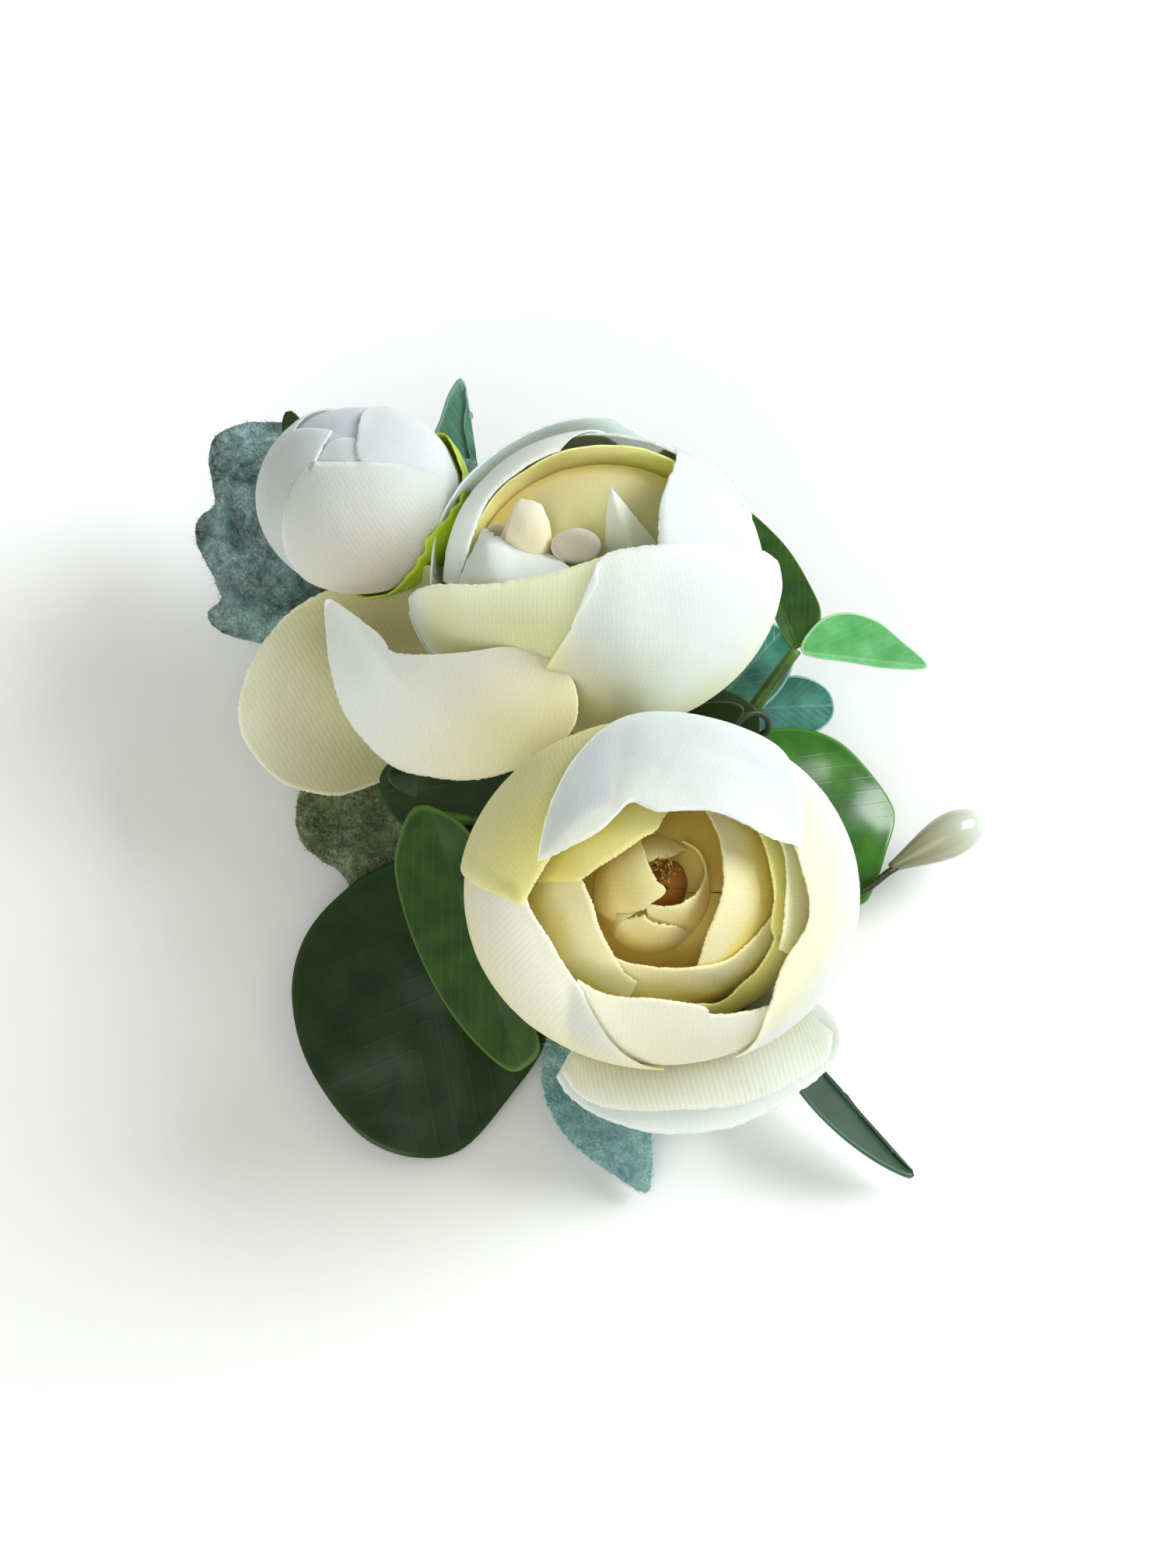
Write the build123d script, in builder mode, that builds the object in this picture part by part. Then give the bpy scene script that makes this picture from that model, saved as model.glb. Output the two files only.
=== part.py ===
"""A flower hair clip: a sprung steel alligator clip whose top jaw carries a felt pad, and on
it two open fabric flowers, a bud and a spray of leaves, set in hot glue.

Millimetres. +Z is up, +X runs along the clip towards the tips of its jaws, and the origin is
the middle of the lower jaw's flat underside, which lies on the table.
"""

import os
from math import asin, cos, degrees, radians, sin, sqrt

from build123d import *

os.makedirs("parts", exist_ok=True)

# Driving dimensions of the clip
CLIP_LENGTH = 60.0
CLIP_WIDTH = 9.0
SHEET = 0.8  # thickness of the stamped steel
PIVOT = (-12.0, 3.6)  # x and z of the hinge's axis
PIN_RADIUS = 0.8
PIN_CLEARANCE = 0.05
EAR_RADIUS = 1.8  # how far the ears reach round the pin
EAR_GAP = 0.15  # between the jaws' ears
TOP_FLAT = 6.6  # height of the upper jaw's flat top
TAIL_RISE = 25.0  # degrees that the thumb tail is bent up
JAW_TIP = 30.0
TAIL_END = -30.0

# Driving dimensions of the pad and the glue
FELT_TOP = 8.1
FELT_CENTRE = (4.6, 0.0)
FELT_RADII = (18.2, 12.5)
GLUE_RADII = (17.2, 11.3)
GLUE_HEIGHT = 4.4

# Fabric and leaves
PETAL = 0.4  # thickness of a stiffened fabric petal
LAYER = 0.7  # step between overlapping petals of one whorl
POST_RADIUS = 1.6  # the stalk that every whorl is threaded on
CALYX = 0.8
LEAF = 0.6
PLUSH = 1.1  # thickness of a flocked leaf
PETIOLE = 1.5  # width of a leaf's stalk

# Where each flower sits: the centre of its ball, and the way it faces
ROSE = Plane(origin=(22.5, -3.5, 29.0), z_dir=(0.366, -0.211, 0.906))
ROSE_RADIUS = 18.4
PEONY = Plane(origin=(-10.5, 9.0, 28.0), z_dir=(-0.28, -0.01, 0.96))
PEONY_RADIUS = 16.6
BUD = Plane(origin=(-32.3, -7.1, 26.2), z_dir=(-0.405, -0.573, 0.713))
BUD_RADIUS = 9.4


def save(name, piece):
    """Labels a finished piece and writes it as its own STEP file."""
    piece.label = name
    export_step(piece, f"parts/{name}.step")


def outward(flower, turn):
    """The direction square to the flower's axis, at an angle round it."""
    return flower.x_dir * cos(radians(turn)) + flower.y_dir * sin(radians(turn))


def petal(flower, radius, turn, width, rim, foot=None):
    """A petal on a ball of the given outer radius: width degrees round the axis, and from the
    stalk up to rim degrees from the foot of the ball, with its free end rounded."""
    if foot is None:
        foot = degrees(asin((POST_RADIUS + 0.1) / (radius - PETAL)))
    start = outward(flower, turn)
    section = Plane(origin=flower.origin, x_dir=start, z_dir=start.cross(flower.z_dir))
    middle_angle = (foot + rim) / 2
    out = outward(flower, turn + width / 2)
    middle = out * sin(radians(middle_angle)) - flower.z_dir * cos(radians(middle_angle))
    face = Plane(origin=flower.origin, x_dir=flower.z_dir.cross(out), z_dir=middle)
    half_height = radius * sin(radians((rim - foot) / 2))
    half_width = radius * sin(radians(width / 2))
    with BuildPart() as shell:
        with BuildSketch(section):
            with BuildLine():
                outer = CenterArc((0, 0), radius, foot - 90, rim - foot)
                inner = CenterArc((0, 0), radius - PETAL, foot - 90, rim - foot)
                Line(outer @ 0, inner @ 0)
                Line(outer @ 1, inner @ 1)
            make_face()
        revolve(axis=Axis(flower.origin, flower.z_dir), revolution_arc=width)
        with BuildSketch(face):
            with Locations((0, -0.35 * half_height)):
                Ellipse(1.03 * half_width, 1.34 * half_height)
        extrude(amount=1.2 * radius, mode=Mode.INTERSECT)
    return shell.part


def whorl(name, flower, radius, count, width, rims, first_turn):
    """A ring of overlapping petals, one node each, stepped inwards so that they clear."""
    for number in range(count):
        last_of_odd = count % 2 == 1 and number == count - 1
        step = 2 if last_of_odd else number % 2
        turn = first_turn + number * 360 / count
        rim = rims[number % len(rims)]
        save(f"{name}_{number + 1}", petal(flower, radius - step * LAYER, turn, width, rim))


def calyx(flower, radius, reach, stem):
    """The green cup under a flower, reach degrees wide, on a short stem."""
    with BuildPart() as cup:
        with BuildSketch(Plane(origin=flower.origin, x_dir=flower.x_dir, z_dir=-flower.y_dir)):
            with BuildLine():
                inner = CenterArc((0, 0), radius, -90, reach)
                outer = CenterArc((0, 0), radius + CALYX, -90, reach)
                Line(inner @ 0, outer @ 0)
                Line(inner @ 1, outer @ 1)
            make_face()
        revolve(axis=Axis(flower.origin, flower.z_dir))
        with BuildSketch(flower.offset(-radius - CALYX / 2)):
            Circle(POST_RADIUS)
        extrude(amount=-stem)
    return cup.part


def stalk(flower, radius, top):
    """The post that the whorls are threaded on, with a rounded receptacle at its top."""
    with BuildPart() as post:
        with BuildSketch(flower.offset(0.05 - radius)):
            Circle(POST_RADIUS)
        extrude(amount=radius - top)
        fillet(post.edges().sort_by(Axis(flower.origin, flower.z_dir))[-1], POST_RADIUS / 3)
    return post.part


def cupped(centre, facing, up, radius, half_width, half_height, thickness=PETAL):
    """A free petal: an oval patch of a ball, where facing points from the ball's centre to
    the middle of the patch, and up is the way that its half_height runs."""
    face = Plane(origin=centre, x_dir=Vector(up).cross(Vector(facing)), z_dir=facing)
    with BuildPart() as patch:
        with Locations(centre):
            Sphere(radius)
            Sphere(radius - thickness, mode=Mode.SUBTRACT)
        with BuildSketch(face):
            Ellipse(half_width, half_height)
        extrude(amount=1.2 * radius, mode=Mode.INTERSECT)
    return patch.part


def blade_plane(base, tip, face):
    """A leaf's plane: x from its base to its tip, z as near to face as that allows."""
    along = (Vector(tip) - Vector(base)).normalized()
    side = Vector(face).cross(along)
    return Plane(origin=base, x_dir=along, z_dir=along.cross(side))


def pointed(length, width, share):
    """A pointed blade on a petiole that takes the given share of the length."""
    start = share * length
    with BuildSketch() as outline:
        with BuildLine():
            Spline(
                (start - 0.3, 0),
                (start + 0.42 * (length - start), width / 2),
                (length, 0),
                tangents=[(0.6, 1), (1, -0.8)],
            )
            Line((start - 0.3, 0), (length, 0))
        make_face()
        mirror(about=Plane.XZ)
        with Locations((start / 2, 0)):
            Rectangle(start + 1.0, PETIOLE)
    return outline.sketch


def rounded(length, width, share):
    """A broad round blade on a petiole."""
    reach = (1 - share) * length / 2
    with BuildSketch() as outline:
        with Locations((length - reach, 0)):
            Ellipse(reach, width / 2)
        with Locations((share * length / 2, 0)):
            Rectangle(share * length + 1.0, PETIOLE)
    return outline.sketch


def lobed(length, width, share):
    """A flocked blade with round lobes along both edges and one at its tip, on a petiole."""
    reach = (1 - share) * length / 2
    lobe = 0.24 * width
    with BuildSketch() as outline:
        with Locations((length - 1.1 * reach, 0)):
            Ellipse(0.88 * reach, 0.36 * width)
        for along in (0.45, 0.95, 1.45):
            x = share * length + along * reach
            with Locations((x, 0.5 * width - lobe), (x, lobe - 0.5 * width)):
                Circle(lobe)
        with Locations((length - lobe, 0)):
            Circle(lobe)
        with Locations((share * length / 2, 0)):
            Rectangle(share * length + 1.0, PETIOLE)
    return outline.sketch


def leaf(base, tip, face, width, cup, share, outline=pointed, thickness=LEAF):
    """A leaf cut from a shallow ball of radius cup, hollow on the side that face looks to,
    or domed there if cup is negative."""
    plane = blade_plane(base, tip, face)
    length = (Vector(tip) - Vector(base)).length
    radius = abs(cup)
    rise = sqrt(radius**2 - (length / 2) ** 2)
    middle = plane.origin + plane.x_dir * length / 2
    centre = middle + plane.z_dir * (rise if cup > 0 else -rise)
    reach = radius - rise + width / 2 + thickness
    with BuildPart() as blade:
        with Locations(centre):
            Sphere(radius)
            Sphere(radius - thickness, mode=Mode.SUBTRACT)
        with BuildSketch(plane.offset(-reach)):
            add(outline(length, width, share))
        extrude(amount=2 * reach, mode=Mode.INTERSECT)
    return blade.part


def wire(points, radii, radius):
    """A bent wire or stem: straight runs joined by arcs."""
    with BuildPart() as rod:
        with BuildLine() as route:
            FilletPolyline(*points, radius=radii)
        with BuildSketch(Plane(origin=route.line @ 0, z_dir=route.line % 0)):
            Circle(radius)
        sweep(path=route.line)
    return rod.part


# The lower jaw: a flat plate with two ears for the pin and a row of teeth along each edge
TOOTH = 1.1
TOOTH_PITCH = 2.2
TEETH = 8
FIRST_TOOTH = 9.5
pivot_x, pivot_z = PIVOT
half_clip = CLIP_WIDTH / 2
with BuildPart() as lower_jaw:
    with BuildSketch(Plane.XY):
        SlotOverall(CLIP_LENGTH, CLIP_WIDTH)
    extrude(amount=SHEET)
    for side in (Plane.XZ.offset(half_clip), Plane.XZ.offset(SHEET - half_clip)):
        with BuildSketch(side):
            with Locations((pivot_x, pivot_z)):
                Circle(EAR_RADIUS)
            with Locations((pivot_x, pivot_z / 2)):
                Trapezoid(4 * EAR_RADIUS, pivot_z, 65)
            with Locations((pivot_x, pivot_z)):
                Circle(PIN_RADIUS, mode=Mode.SUBTRACT)
        extrude(amount=-SHEET)
    for number in range(TEETH):
        with BuildSketch(Plane.XZ.offset(half_clip)):
            with Locations((FIRST_TOOTH + number * TOOTH_PITCH, SHEET + TOOTH / 2 - 0.05)):
                Trapezoid(TOOTH_PITCH * 0.9, TOOTH + 0.1, 58)
        extrude(amount=-SHEET)
        with BuildSketch(Plane.XZ.offset(SHEET - half_clip)):
            with Locations((FIRST_TOOTH + number * TOOTH_PITCH, SHEET + TOOTH / 2 - 0.05)):
                Trapezoid(TOOTH_PITCH * 0.9, TOOTH + 0.1, 58)
        extrude(amount=-SHEET)
save("lower_jaw", lower_jaw.part)

# The hinge pin: a rivet, peened over both of the lower jaw's ears
HEAD_RADIUS = 1.4
HEAD = 0.5
with BuildPart() as hinge_pin:
    with BuildSketch(Plane.XZ.offset(-half_clip)):
        with Locations((pivot_x, pivot_z)):
            Circle(PIN_RADIUS)
    extrude(amount=CLIP_WIDTH)
    for side, out in ((half_clip, HEAD), (-half_clip, -HEAD)):
        with BuildSketch(Plane.XZ.offset(side)):
            with Locations((pivot_x, pivot_z)):
                Circle(HEAD_RADIUS)
        extrude(amount=out)
save("hinge_pin", hinge_pin.part)

# The upper jaw: one bent strip, with ears that hang inside the lower jaw's
KNEE = -15.0  # where the tail turns up
SHOULDER = 21.0  # where the nose turns down
NOSE_DROP = 4.9
UPPER_WIDTH = 2 * (half_clip - SHEET - EAR_GAP)
tail_rise = (KNEE - TAIL_END) * sin(radians(TAIL_RISE)) / cos(radians(TAIL_RISE))
under = TOP_FLAT - SHEET
with BuildPart() as upper_jaw:
    with BuildSketch(Plane.XZ):
        with BuildLine():
            top = FilletPolyline(
                (TAIL_END, TOP_FLAT + tail_rise),
                (KNEE, TOP_FLAT),
                (SHOULDER, TOP_FLAT),
                (JAW_TIP, TOP_FLAT - NOSE_DROP),
                radius=(4, 12),
            )
            bottom = FilletPolyline(
                (TAIL_END, under + tail_rise),
                (KNEE, under),
                (SHOULDER, under),
                (JAW_TIP, under - NOSE_DROP),
                radius=(4, 12),
            )
            Line(top @ 0, bottom @ 0)
            Line(top @ 1, bottom @ 1)
        make_face()
    extrude(amount=half_clip, both=True)
    with BuildSketch(Plane.XY):
        SlotOverall(CLIP_LENGTH, UPPER_WIDTH + 1.2)
    extrude(amount=3 * TOP_FLAT, mode=Mode.INTERSECT)
    for side in (UPPER_WIDTH / 2, SHEET - UPPER_WIDTH / 2):
        with BuildSketch(Plane.XZ.offset(side)):
            with Locations((pivot_x, pivot_z)):
                Circle(EAR_RADIUS)
            with Locations((pivot_x, (pivot_z + under + 0.2) / 2)):
                Rectangle(2 * EAR_RADIUS, under + 0.2 - pivot_z)
            with Locations((pivot_x, pivot_z)):
                Circle(PIN_RADIUS + PIN_CLEARANCE, mode=Mode.SUBTRACT)
        extrude(amount=-SHEET)
save("upper_jaw", upper_jaw.part)

# The torsion spring: a coil round the pin, with a leg under the tail and one on the lower jaw
COIL_RADIUS = 1.7
SPRING_WIRE = 0.28
COIL_PITCH = 0.72
COIL_TURNS = 5.5
LEG_REACH = 11.0
coil_length = COIL_PITCH * COIL_TURNS
tail_slope = sin(radians(TAIL_RISE)) / cos(radians(TAIL_RISE))
with BuildPart() as torsion_spring:
    with BuildLine() as coil:
        Helix(
            pitch=COIL_PITCH,
            height=coil_length,
            radius=COIL_RADIUS,
            center=(pivot_x, -coil_length / 2, pivot_z),
            direction=(0, 1, 0),
        )
    with BuildSketch(Plane(origin=coil.line @ 0, z_dir=coil.line % 0)):
        Circle(SPRING_WIRE)
    sweep(path=coil.line, is_frenet=True)
    top_end = coil.line @ 0
    top_knee = top_end - (coil.line % 0) * 3.3
    top_tip = top_knee + Vector(-6.7, 0, 6.7 * tail_slope)
    low_end = coil.line @ 1
    low_tip = low_end + (coil.line % 1) * 3.0 + Vector(-LEG_REACH + 3.0, 0, -0.6)
    with BuildLine() as top_leg:
        FilletPolyline(top_end, top_knee, top_tip, radius=1.5)
    with BuildSketch(Plane(origin=top_leg.line @ 0, z_dir=top_leg.line % 0)):
        Circle(SPRING_WIRE)
    sweep(path=top_leg.line)
    with BuildLine() as low_leg:
        FilletPolyline(low_end, low_end + (coil.line % 1) * 3.0, low_tip, radius=4)
    with BuildSketch(Plane(origin=low_leg.line @ 0, z_dir=low_leg.line % 0)):
        Circle(SPRING_WIRE)
    sweep(path=low_leg.line)
save("torsion_spring", torsion_spring.part)

# The felt pad, glued on the flat of the upper jaw
with BuildPart() as felt_pad:
    with BuildSketch(Plane.XY.offset(TOP_FLAT)):
        with Locations(FELT_CENTRE):
            Ellipse(*FELT_RADII)
    extrude(amount=FELT_TOP - TOP_FLAT)
save("felt_pad", felt_pad.part)

# The rose: whorls on balls of falling radius, threaded on one stalk
ROSE_WHORLS = (
    ("rose_outer_petal", 18.4, 5, 92, (131, 127, 130, 128, 125), 60),
    ("rose_middle_petal", 14.9, 4, 112, (128, 124), 95),
    ("rose_inner_petal", 11.9, 3, 150, (126, 121, 124), 20),
    ("rose_heart_petal", 8.6, 2, 205, (124, 118), 130),
)
for name, radius, count, width, rims, first_turn in ROSE_WHORLS:
    whorl(name, ROSE, radius, count, width, rims, first_turn)
rose_calyx = calyx(ROSE, ROSE_RADIUS + 0.05, 32, 2.6)
save("rose_calyx", rose_calyx)

# The rose's stalk ends in a button of stamens
STAMENS = 11
with BuildPart() as rose_stamens:
    add(stalk(ROSE, ROSE_RADIUS, 4.5))
    with BuildSketch(ROSE.offset(-4.6)):
        Circle(3.0)
    extrude(amount=3.6, taper=14)
    with BuildSketch(ROSE.offset(-1.2)):
        with PolarLocations(1.5, STAMENS):
            Circle(0.22)
    extrude(amount=2.2)
save("rose_stamens", rose_stamens.part)

# Two loose petals that hang below the rose, outside its calyx
collar_up = ROSE.z_dir
save("rose_collar_petal_1", cupped(ROSE.origin, (0.62, -0.42, -0.66), collar_up, 20.4, 9.5, 8.5))
save("rose_collar_petal_2", cupped(ROSE.origin, (0.70, 0.22, -0.68), collar_up, 21.2, 10.5, 8.0))

# The peony: a more open cup, with curled petals at its heart and two petals fallen open
PEONY_WHORLS = (
    ("peony_outer_petal", 16.6, 5, 93, (118, 124, 116, 121, 113), 10),
    ("peony_inner_petal", 12.9, 3, 138, (112, 118, 108), 75),
)
for name, radius, count, width, rims, first_turn in PEONY_WHORLS:
    whorl(name, PEONY, radius, count, width, rims, first_turn)
peony_calyx = calyx(PEONY, PEONY_RADIUS + 0.05, 32, 2.6)
save("peony_calyx", peony_calyx)
with BuildPart() as peony_heart:
    add(stalk(PEONY, PEONY_RADIUS, 4.0))
    for radius, turn, rim in ((9.4, 40, 118), (7.6, 190, 110)):
        with BuildSketch(Plane(origin=PEONY.origin, x_dir=outward(PEONY, turn),
                               z_dir=outward(PEONY, turn).cross(PEONY.z_dir))):
            with BuildLine():
                outer = CenterArc((0, 0), radius, -90, rim)
                inner = CenterArc((0, 0), radius - PETAL, -90, rim)
                Line(outer @ 0, inner @ 0)
                Line(outer @ 1, inner @ 1)
            make_face()
        revolve(axis=Axis(PEONY.origin, PEONY.z_dir), revolution_arc=150)
save("peony_heart", peony_heart.part)
save("peony_loose_petal_1", cupped((-19.5, -20.6, 36.2), (0.03, 0.08, -1), (0, 1, 0), 21.0, 10.0, 10.4))
save("peony_loose_petal_2", cupped(PEONY.origin, (-0.05, -0.95, -0.30), PEONY.z_dir, 18.6, 11.0, 8.0))

# The bud: four petals closed round a core, on a wired stem that reaches the glue
whorl("bud_petal", BUD, BUD_RADIUS, 4, 118, (150, 143), 30)
with BuildPart() as bud_core:
    with Locations(BUD.offset(-1.0)):
        Sphere(6.2)
save("bud_core", bud_core.part)
bud_foot = BUD.origin - BUD.z_dir * (BUD_RADIUS + 0.3)
with BuildPart() as bud_calyx:
    add(calyx(BUD, BUD_RADIUS + 0.05, 48, 1.5))
    add(wire((bud_foot, bud_foot - BUD.z_dir * 3.4, (-13.5, -1.6, 10.6), (-7.5, -1.6, 9.2)), (2.5, 4), 0.8))
save("bud_calyx", bud_calyx.part)

# Leaves: base, tip, the way the upper side faces, width, cup, petiole's share of the length
LEAVES = (
    ("lambs_ear_left", (-8, -6.2, 9.6), (-43.8, -18.2, 13.6), (0, -0.1, 1), 17.5, 90, 0.42, lobed, PLUSH),
    ("lambs_ear_lower", (-2, -7.0, 9.7), (-12.0, -27.5, 9.7), (0, 0, 1), 16, -60, 0.30, lobed, PLUSH),
    ("lambs_ear_bottom", (15.5, -4.6, 9.6), (39.0, -13.6, 4.2), (0.1, -0.1, 1), 12, -60, 0.38, lobed, PLUSH),
    ("round_leaf", (4, -8.5, 9.3), (18.6, -35.0, 3.5), (0, 0, 1), 22, -60, 0.16, rounded, LEAF),
    ("right_leaf", (3.5, 9.0, 9.6), (27.0, 21.0, 9.0), (-0.1, 0.1, 1), 12.5, -40, 0.25, pointed, LEAF),
    ("blade_leaf_top", (-8, 2.6, 9.4), (-41.7, 10.3, 16), (0, 0, 1), 7.5, 90, 0.5, pointed, LEAF),
    ("blade_leaf_right", (17, 3.0, 9.8), (49.9, 8.4, 3.5), (0, 0, 1), 7.5, -90, 0.42, pointed, LEAF),
    ("dark_leaf", (-9, -3.4, 11.0), (-45.3, -9.5, 17.5), (0, 0, 1), 6.5, 120, 0.55, pointed, LEAF),
    ("filler_leaf_1", (1.4, 3.6, 11.4), (5.8, 15.2, 20.5), (-0.6, -0.2, 0.8), 7, 30, 0.25, pointed, LEAF),
    ("filler_leaf_2", (-4.2, -5.4, 11.2), (-7.6, -17.2, 15.5), (0, -0.4, 1), 7, 30, 0.25, pointed, LEAF),
)
leaf_parts = []
for name, base, tip, face, width, cup, share, outline, thickness in LEAVES:
    piece = leaf(base, tip, face, width, cup, share, outline, thickness)
    leaf_parts.append(piece)
    save(name, piece)

# The folded leaf stands beside the rose on its own bent stem
with BuildPart() as folded_leaf:
    add(leaf((-1.5, -17.5, 19.0), (24.0, -22.5, 12.0), (-0.3, -0.7, 0.5), 9, -24, 0.05))
    add(wire(((1.5, -7.5, 9.6), (0.5, -11.5, 13.5), (-0.8, -17.4, 18.9)), (4,), 0.6))
save("folded_leaf", folded_leaf.part)

# The sprig: a stem with two leaves
SPRIG_KNOT = (0.6, 23.8, 16.2)
with BuildPart() as sprig_stem:
    add(wire(((1.0, 8.5, 9.4), (3.6, 14.5, 12.5), SPRIG_KNOT), (5,), 0.6))
save("sprig_stem", sprig_stem.part)
save("sprig_leaf_1", leaf((-0.2, 25.0, 16.4), (-14.4, 27.6, 19.2), (0.2, 0.4, 1), 6.5, 30, 0.05))
save("sprig_leaf_2", leaf((1.6, 24.7, 16.4), (7.8, 35.1, 14.0), (0.2, 0, 1), 6.5, -24, 0.05))

# The eucalyptus: two glaucous leaves on one wire
with BuildPart() as eucalyptus:
    add(wire(((-1.5, 8.0, 9.2), (-0.5, 15.0, 9.6), (-0.2, 20.0, 9.4)), (6,), 0.6))
    add(leaf((-0.6, 14.0, 9.8), (-7.5, 23.5, 11.5), (0.2, 0, 1), 7, -24, 0.02, rounded))
    add(leaf((-0.2, 18.5, 9.4), (2.4, 28.0, 8.4), (0.2, 0, 1), 7, -24, 0.02, rounded))
save("eucalyptus", eucalyptus.part)

# The pearl bud, a teardrop on a wire
PEARL_FOOT = Plane(origin=(22.3, 23.4, 6.6), x_dir=(0, 0, 1), z_dir=(-0.06, 0.99, 0))
PEARL_LENGTH = 10.4
PEARL_RADIUS = 2.2
with BuildPart() as pearl_bud:
    with BuildSketch(Plane(origin=PEARL_FOOT.origin, x_dir=PEARL_FOOT.x_dir, z_dir=PEARL_FOOT.y_dir)):
        with BuildLine():
            axis_line = Line((0, 0), (0, -PEARL_LENGTH))
            Spline(
                (0, 0),
                (0.4 * PEARL_RADIUS, -0.2 * PEARL_LENGTH),
                (PEARL_RADIUS, -PEARL_LENGTH + PEARL_RADIUS),
                (0, -PEARL_LENGTH),
                tangents=[(1, -0.5), (-1, 0)],
            )
        make_face()
    revolve(axis=Axis(PEARL_FOOT.origin, PEARL_FOOT.z_dir))
save("pearl_bud", pearl_bud.part)
with BuildPart() as pearl_wire:
    add(wire(((6.5, 7.5, 9.2), (9.0, 13.0, 9.2), (22.0, 17.0, 6.6), (22.3, 23.3, 6.6)), (3, 3), 0.35))
save("pearl_wire", pearl_wire.part)

# A hooked end of floral wire left standing between the flowers
with BuildPart() as floral_wire:
    add(wire(((6.0, 8.0, 9.4), (6.6, 12.5, 17.0), (7.0, 17.5, 18.0), (5.0, 18.0, 15.5)), (2, 1), 0.35))
save("floral_wire", floral_wire.part)

# The glue mound on the felt, moulded round everything that is set in it
with BuildPart() as glue_mound:
    with BuildSketch(Plane.XY.offset(FELT_TOP)):
        with Locations(FELT_CENTRE):
            Ellipse(*GLUE_RADII)
    extrude(amount=GLUE_HEIGHT)
    fillet(glue_mound.faces().sort_by(Axis.Z)[-1].edges(), 0.8 * GLUE_HEIGHT)
    for flower, radius in ((ROSE, ROSE_RADIUS), (PEONY, PEONY_RADIUS)):
        with Locations(flower.origin):
            Sphere(radius + 0.05 + CALYX, mode=Mode.SUBTRACT)
    for piece in (rose_calyx, peony_calyx, bud_calyx.part, folded_leaf.part, sprig_stem.part):
        add(piece, mode=Mode.SUBTRACT)
    for piece in (eucalyptus.part, pearl_wire.part, floral_wire.part, *leaf_parts):
        add(piece, mode=Mode.SUBTRACT)
save("glue_mound", glue_mound.part)
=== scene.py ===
"""The looks of the flower hair clip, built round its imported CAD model.

The spray is laid out in a frame of its own, in millimetres: x to the right, y up and z towards
the viewer. x and y are a place's bearing through the plane z = 0, seen from VIEW_DISTANCE in
front of it, so nearer places draw in. place() turns them into the row frame, in metres.
"""

import math

import bpy
import numpy as np
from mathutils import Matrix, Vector, noise


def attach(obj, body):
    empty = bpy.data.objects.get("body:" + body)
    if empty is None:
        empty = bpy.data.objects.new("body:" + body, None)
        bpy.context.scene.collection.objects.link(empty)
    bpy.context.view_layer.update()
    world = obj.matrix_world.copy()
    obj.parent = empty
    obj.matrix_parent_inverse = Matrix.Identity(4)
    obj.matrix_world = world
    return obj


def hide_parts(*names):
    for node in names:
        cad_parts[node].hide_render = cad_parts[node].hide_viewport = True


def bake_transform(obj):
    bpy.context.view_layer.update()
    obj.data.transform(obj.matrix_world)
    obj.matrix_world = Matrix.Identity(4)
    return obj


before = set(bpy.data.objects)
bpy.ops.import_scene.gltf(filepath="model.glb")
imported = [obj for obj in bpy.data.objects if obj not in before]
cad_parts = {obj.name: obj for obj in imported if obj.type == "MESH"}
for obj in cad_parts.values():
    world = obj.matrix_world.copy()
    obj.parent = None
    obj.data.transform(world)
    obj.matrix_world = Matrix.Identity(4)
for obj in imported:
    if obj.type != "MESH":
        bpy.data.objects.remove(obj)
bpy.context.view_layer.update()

MM = 0.001
TOP = "flower_jaw_body"

# ---------------------------------------------------------------- the layout frame
AZIMUTH = math.radians(60)  # of the photo's view, and the elevation below
ELEVATION = math.radians(65)
TARGET = np.array((4.8, -1.6, 20.0))  # the layout's origin, in row millimetres
RIGHT = np.array((math.cos(AZIMUTH), math.sin(AZIMUTH), 0.0))
LEVEL = math.cos(ELEVATION)
BACK = np.array((math.sin(AZIMUTH) * LEVEL, -math.cos(AZIMUTH) * LEVEL, math.sin(ELEVATION)))
UP = np.cross(BACK, RIGHT)
VIEW_HEIGHT = 155.1  # of the picture, at the plane z = 0
VIEW_DISTANCE = 420.0


def place(points):
    """Layout millimetres to row metres."""
    p = np.array(points, float)
    p[..., :2] *= 1 - p[..., 2:3] / VIEW_DISTANCE
    return (TARGET + p[..., :1] * RIGHT + p[..., 1:2] * UP + p[..., 2:3] * BACK) * MM


# ---------------------------------------------------------------- curves and grids
def smooth(x, low=0.0, high=1.0):
    x = np.clip((np.asarray(x, float) - low) / (high - low), 0, 1)
    return x * x * (3 - 2 * x)


def catmull(points, steps=12, closed=False):
    """A dense Catmull-Rom line through the points."""
    p = np.asarray(points, float)
    if len(p) < 3:
        return p
    if closed:
        q = np.vstack((p[-1:], p, p[:2]))
    else:
        q = np.vstack((2 * p[:1] - p[1:2], p, 2 * p[-1:] - p[-2:-1]))
    t = np.linspace(0, 1, steps, endpoint=False)[:, None]
    runs = []
    for i in range(1, len(q) - 2):
        a, b, c, d = q[i - 1 : i + 3]
        bend = (2 * a - 5 * b + 4 * c - d) * t**2 + (3 * b - a - 3 * c + d) * t**3
        runs.append(0.5 * (2 * b + (c - a) * t + bend))
    if not closed:
        runs.append(q[-2:-1])
    return np.vstack(runs)


def even(line, count, closed=False):
    """The line resampled to evenly spaced points."""
    line = np.asarray(line, float)
    if closed:
        line = np.vstack((line, line[:1]))
    run = np.concatenate(([0], np.cumsum(np.linalg.norm(np.diff(line, axis=0), axis=1))))
    at = np.linspace(0, run[-1], count + 1)[:-1] if closed else np.linspace(0, run[-1], count)
    return np.stack([np.interp(at, run, line[:, k]) for k in range(line.shape[1])], 1)


def unit(v):
    return v / np.maximum(np.linalg.norm(v, axis=-1, keepdims=True), 1e-9)


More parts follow.
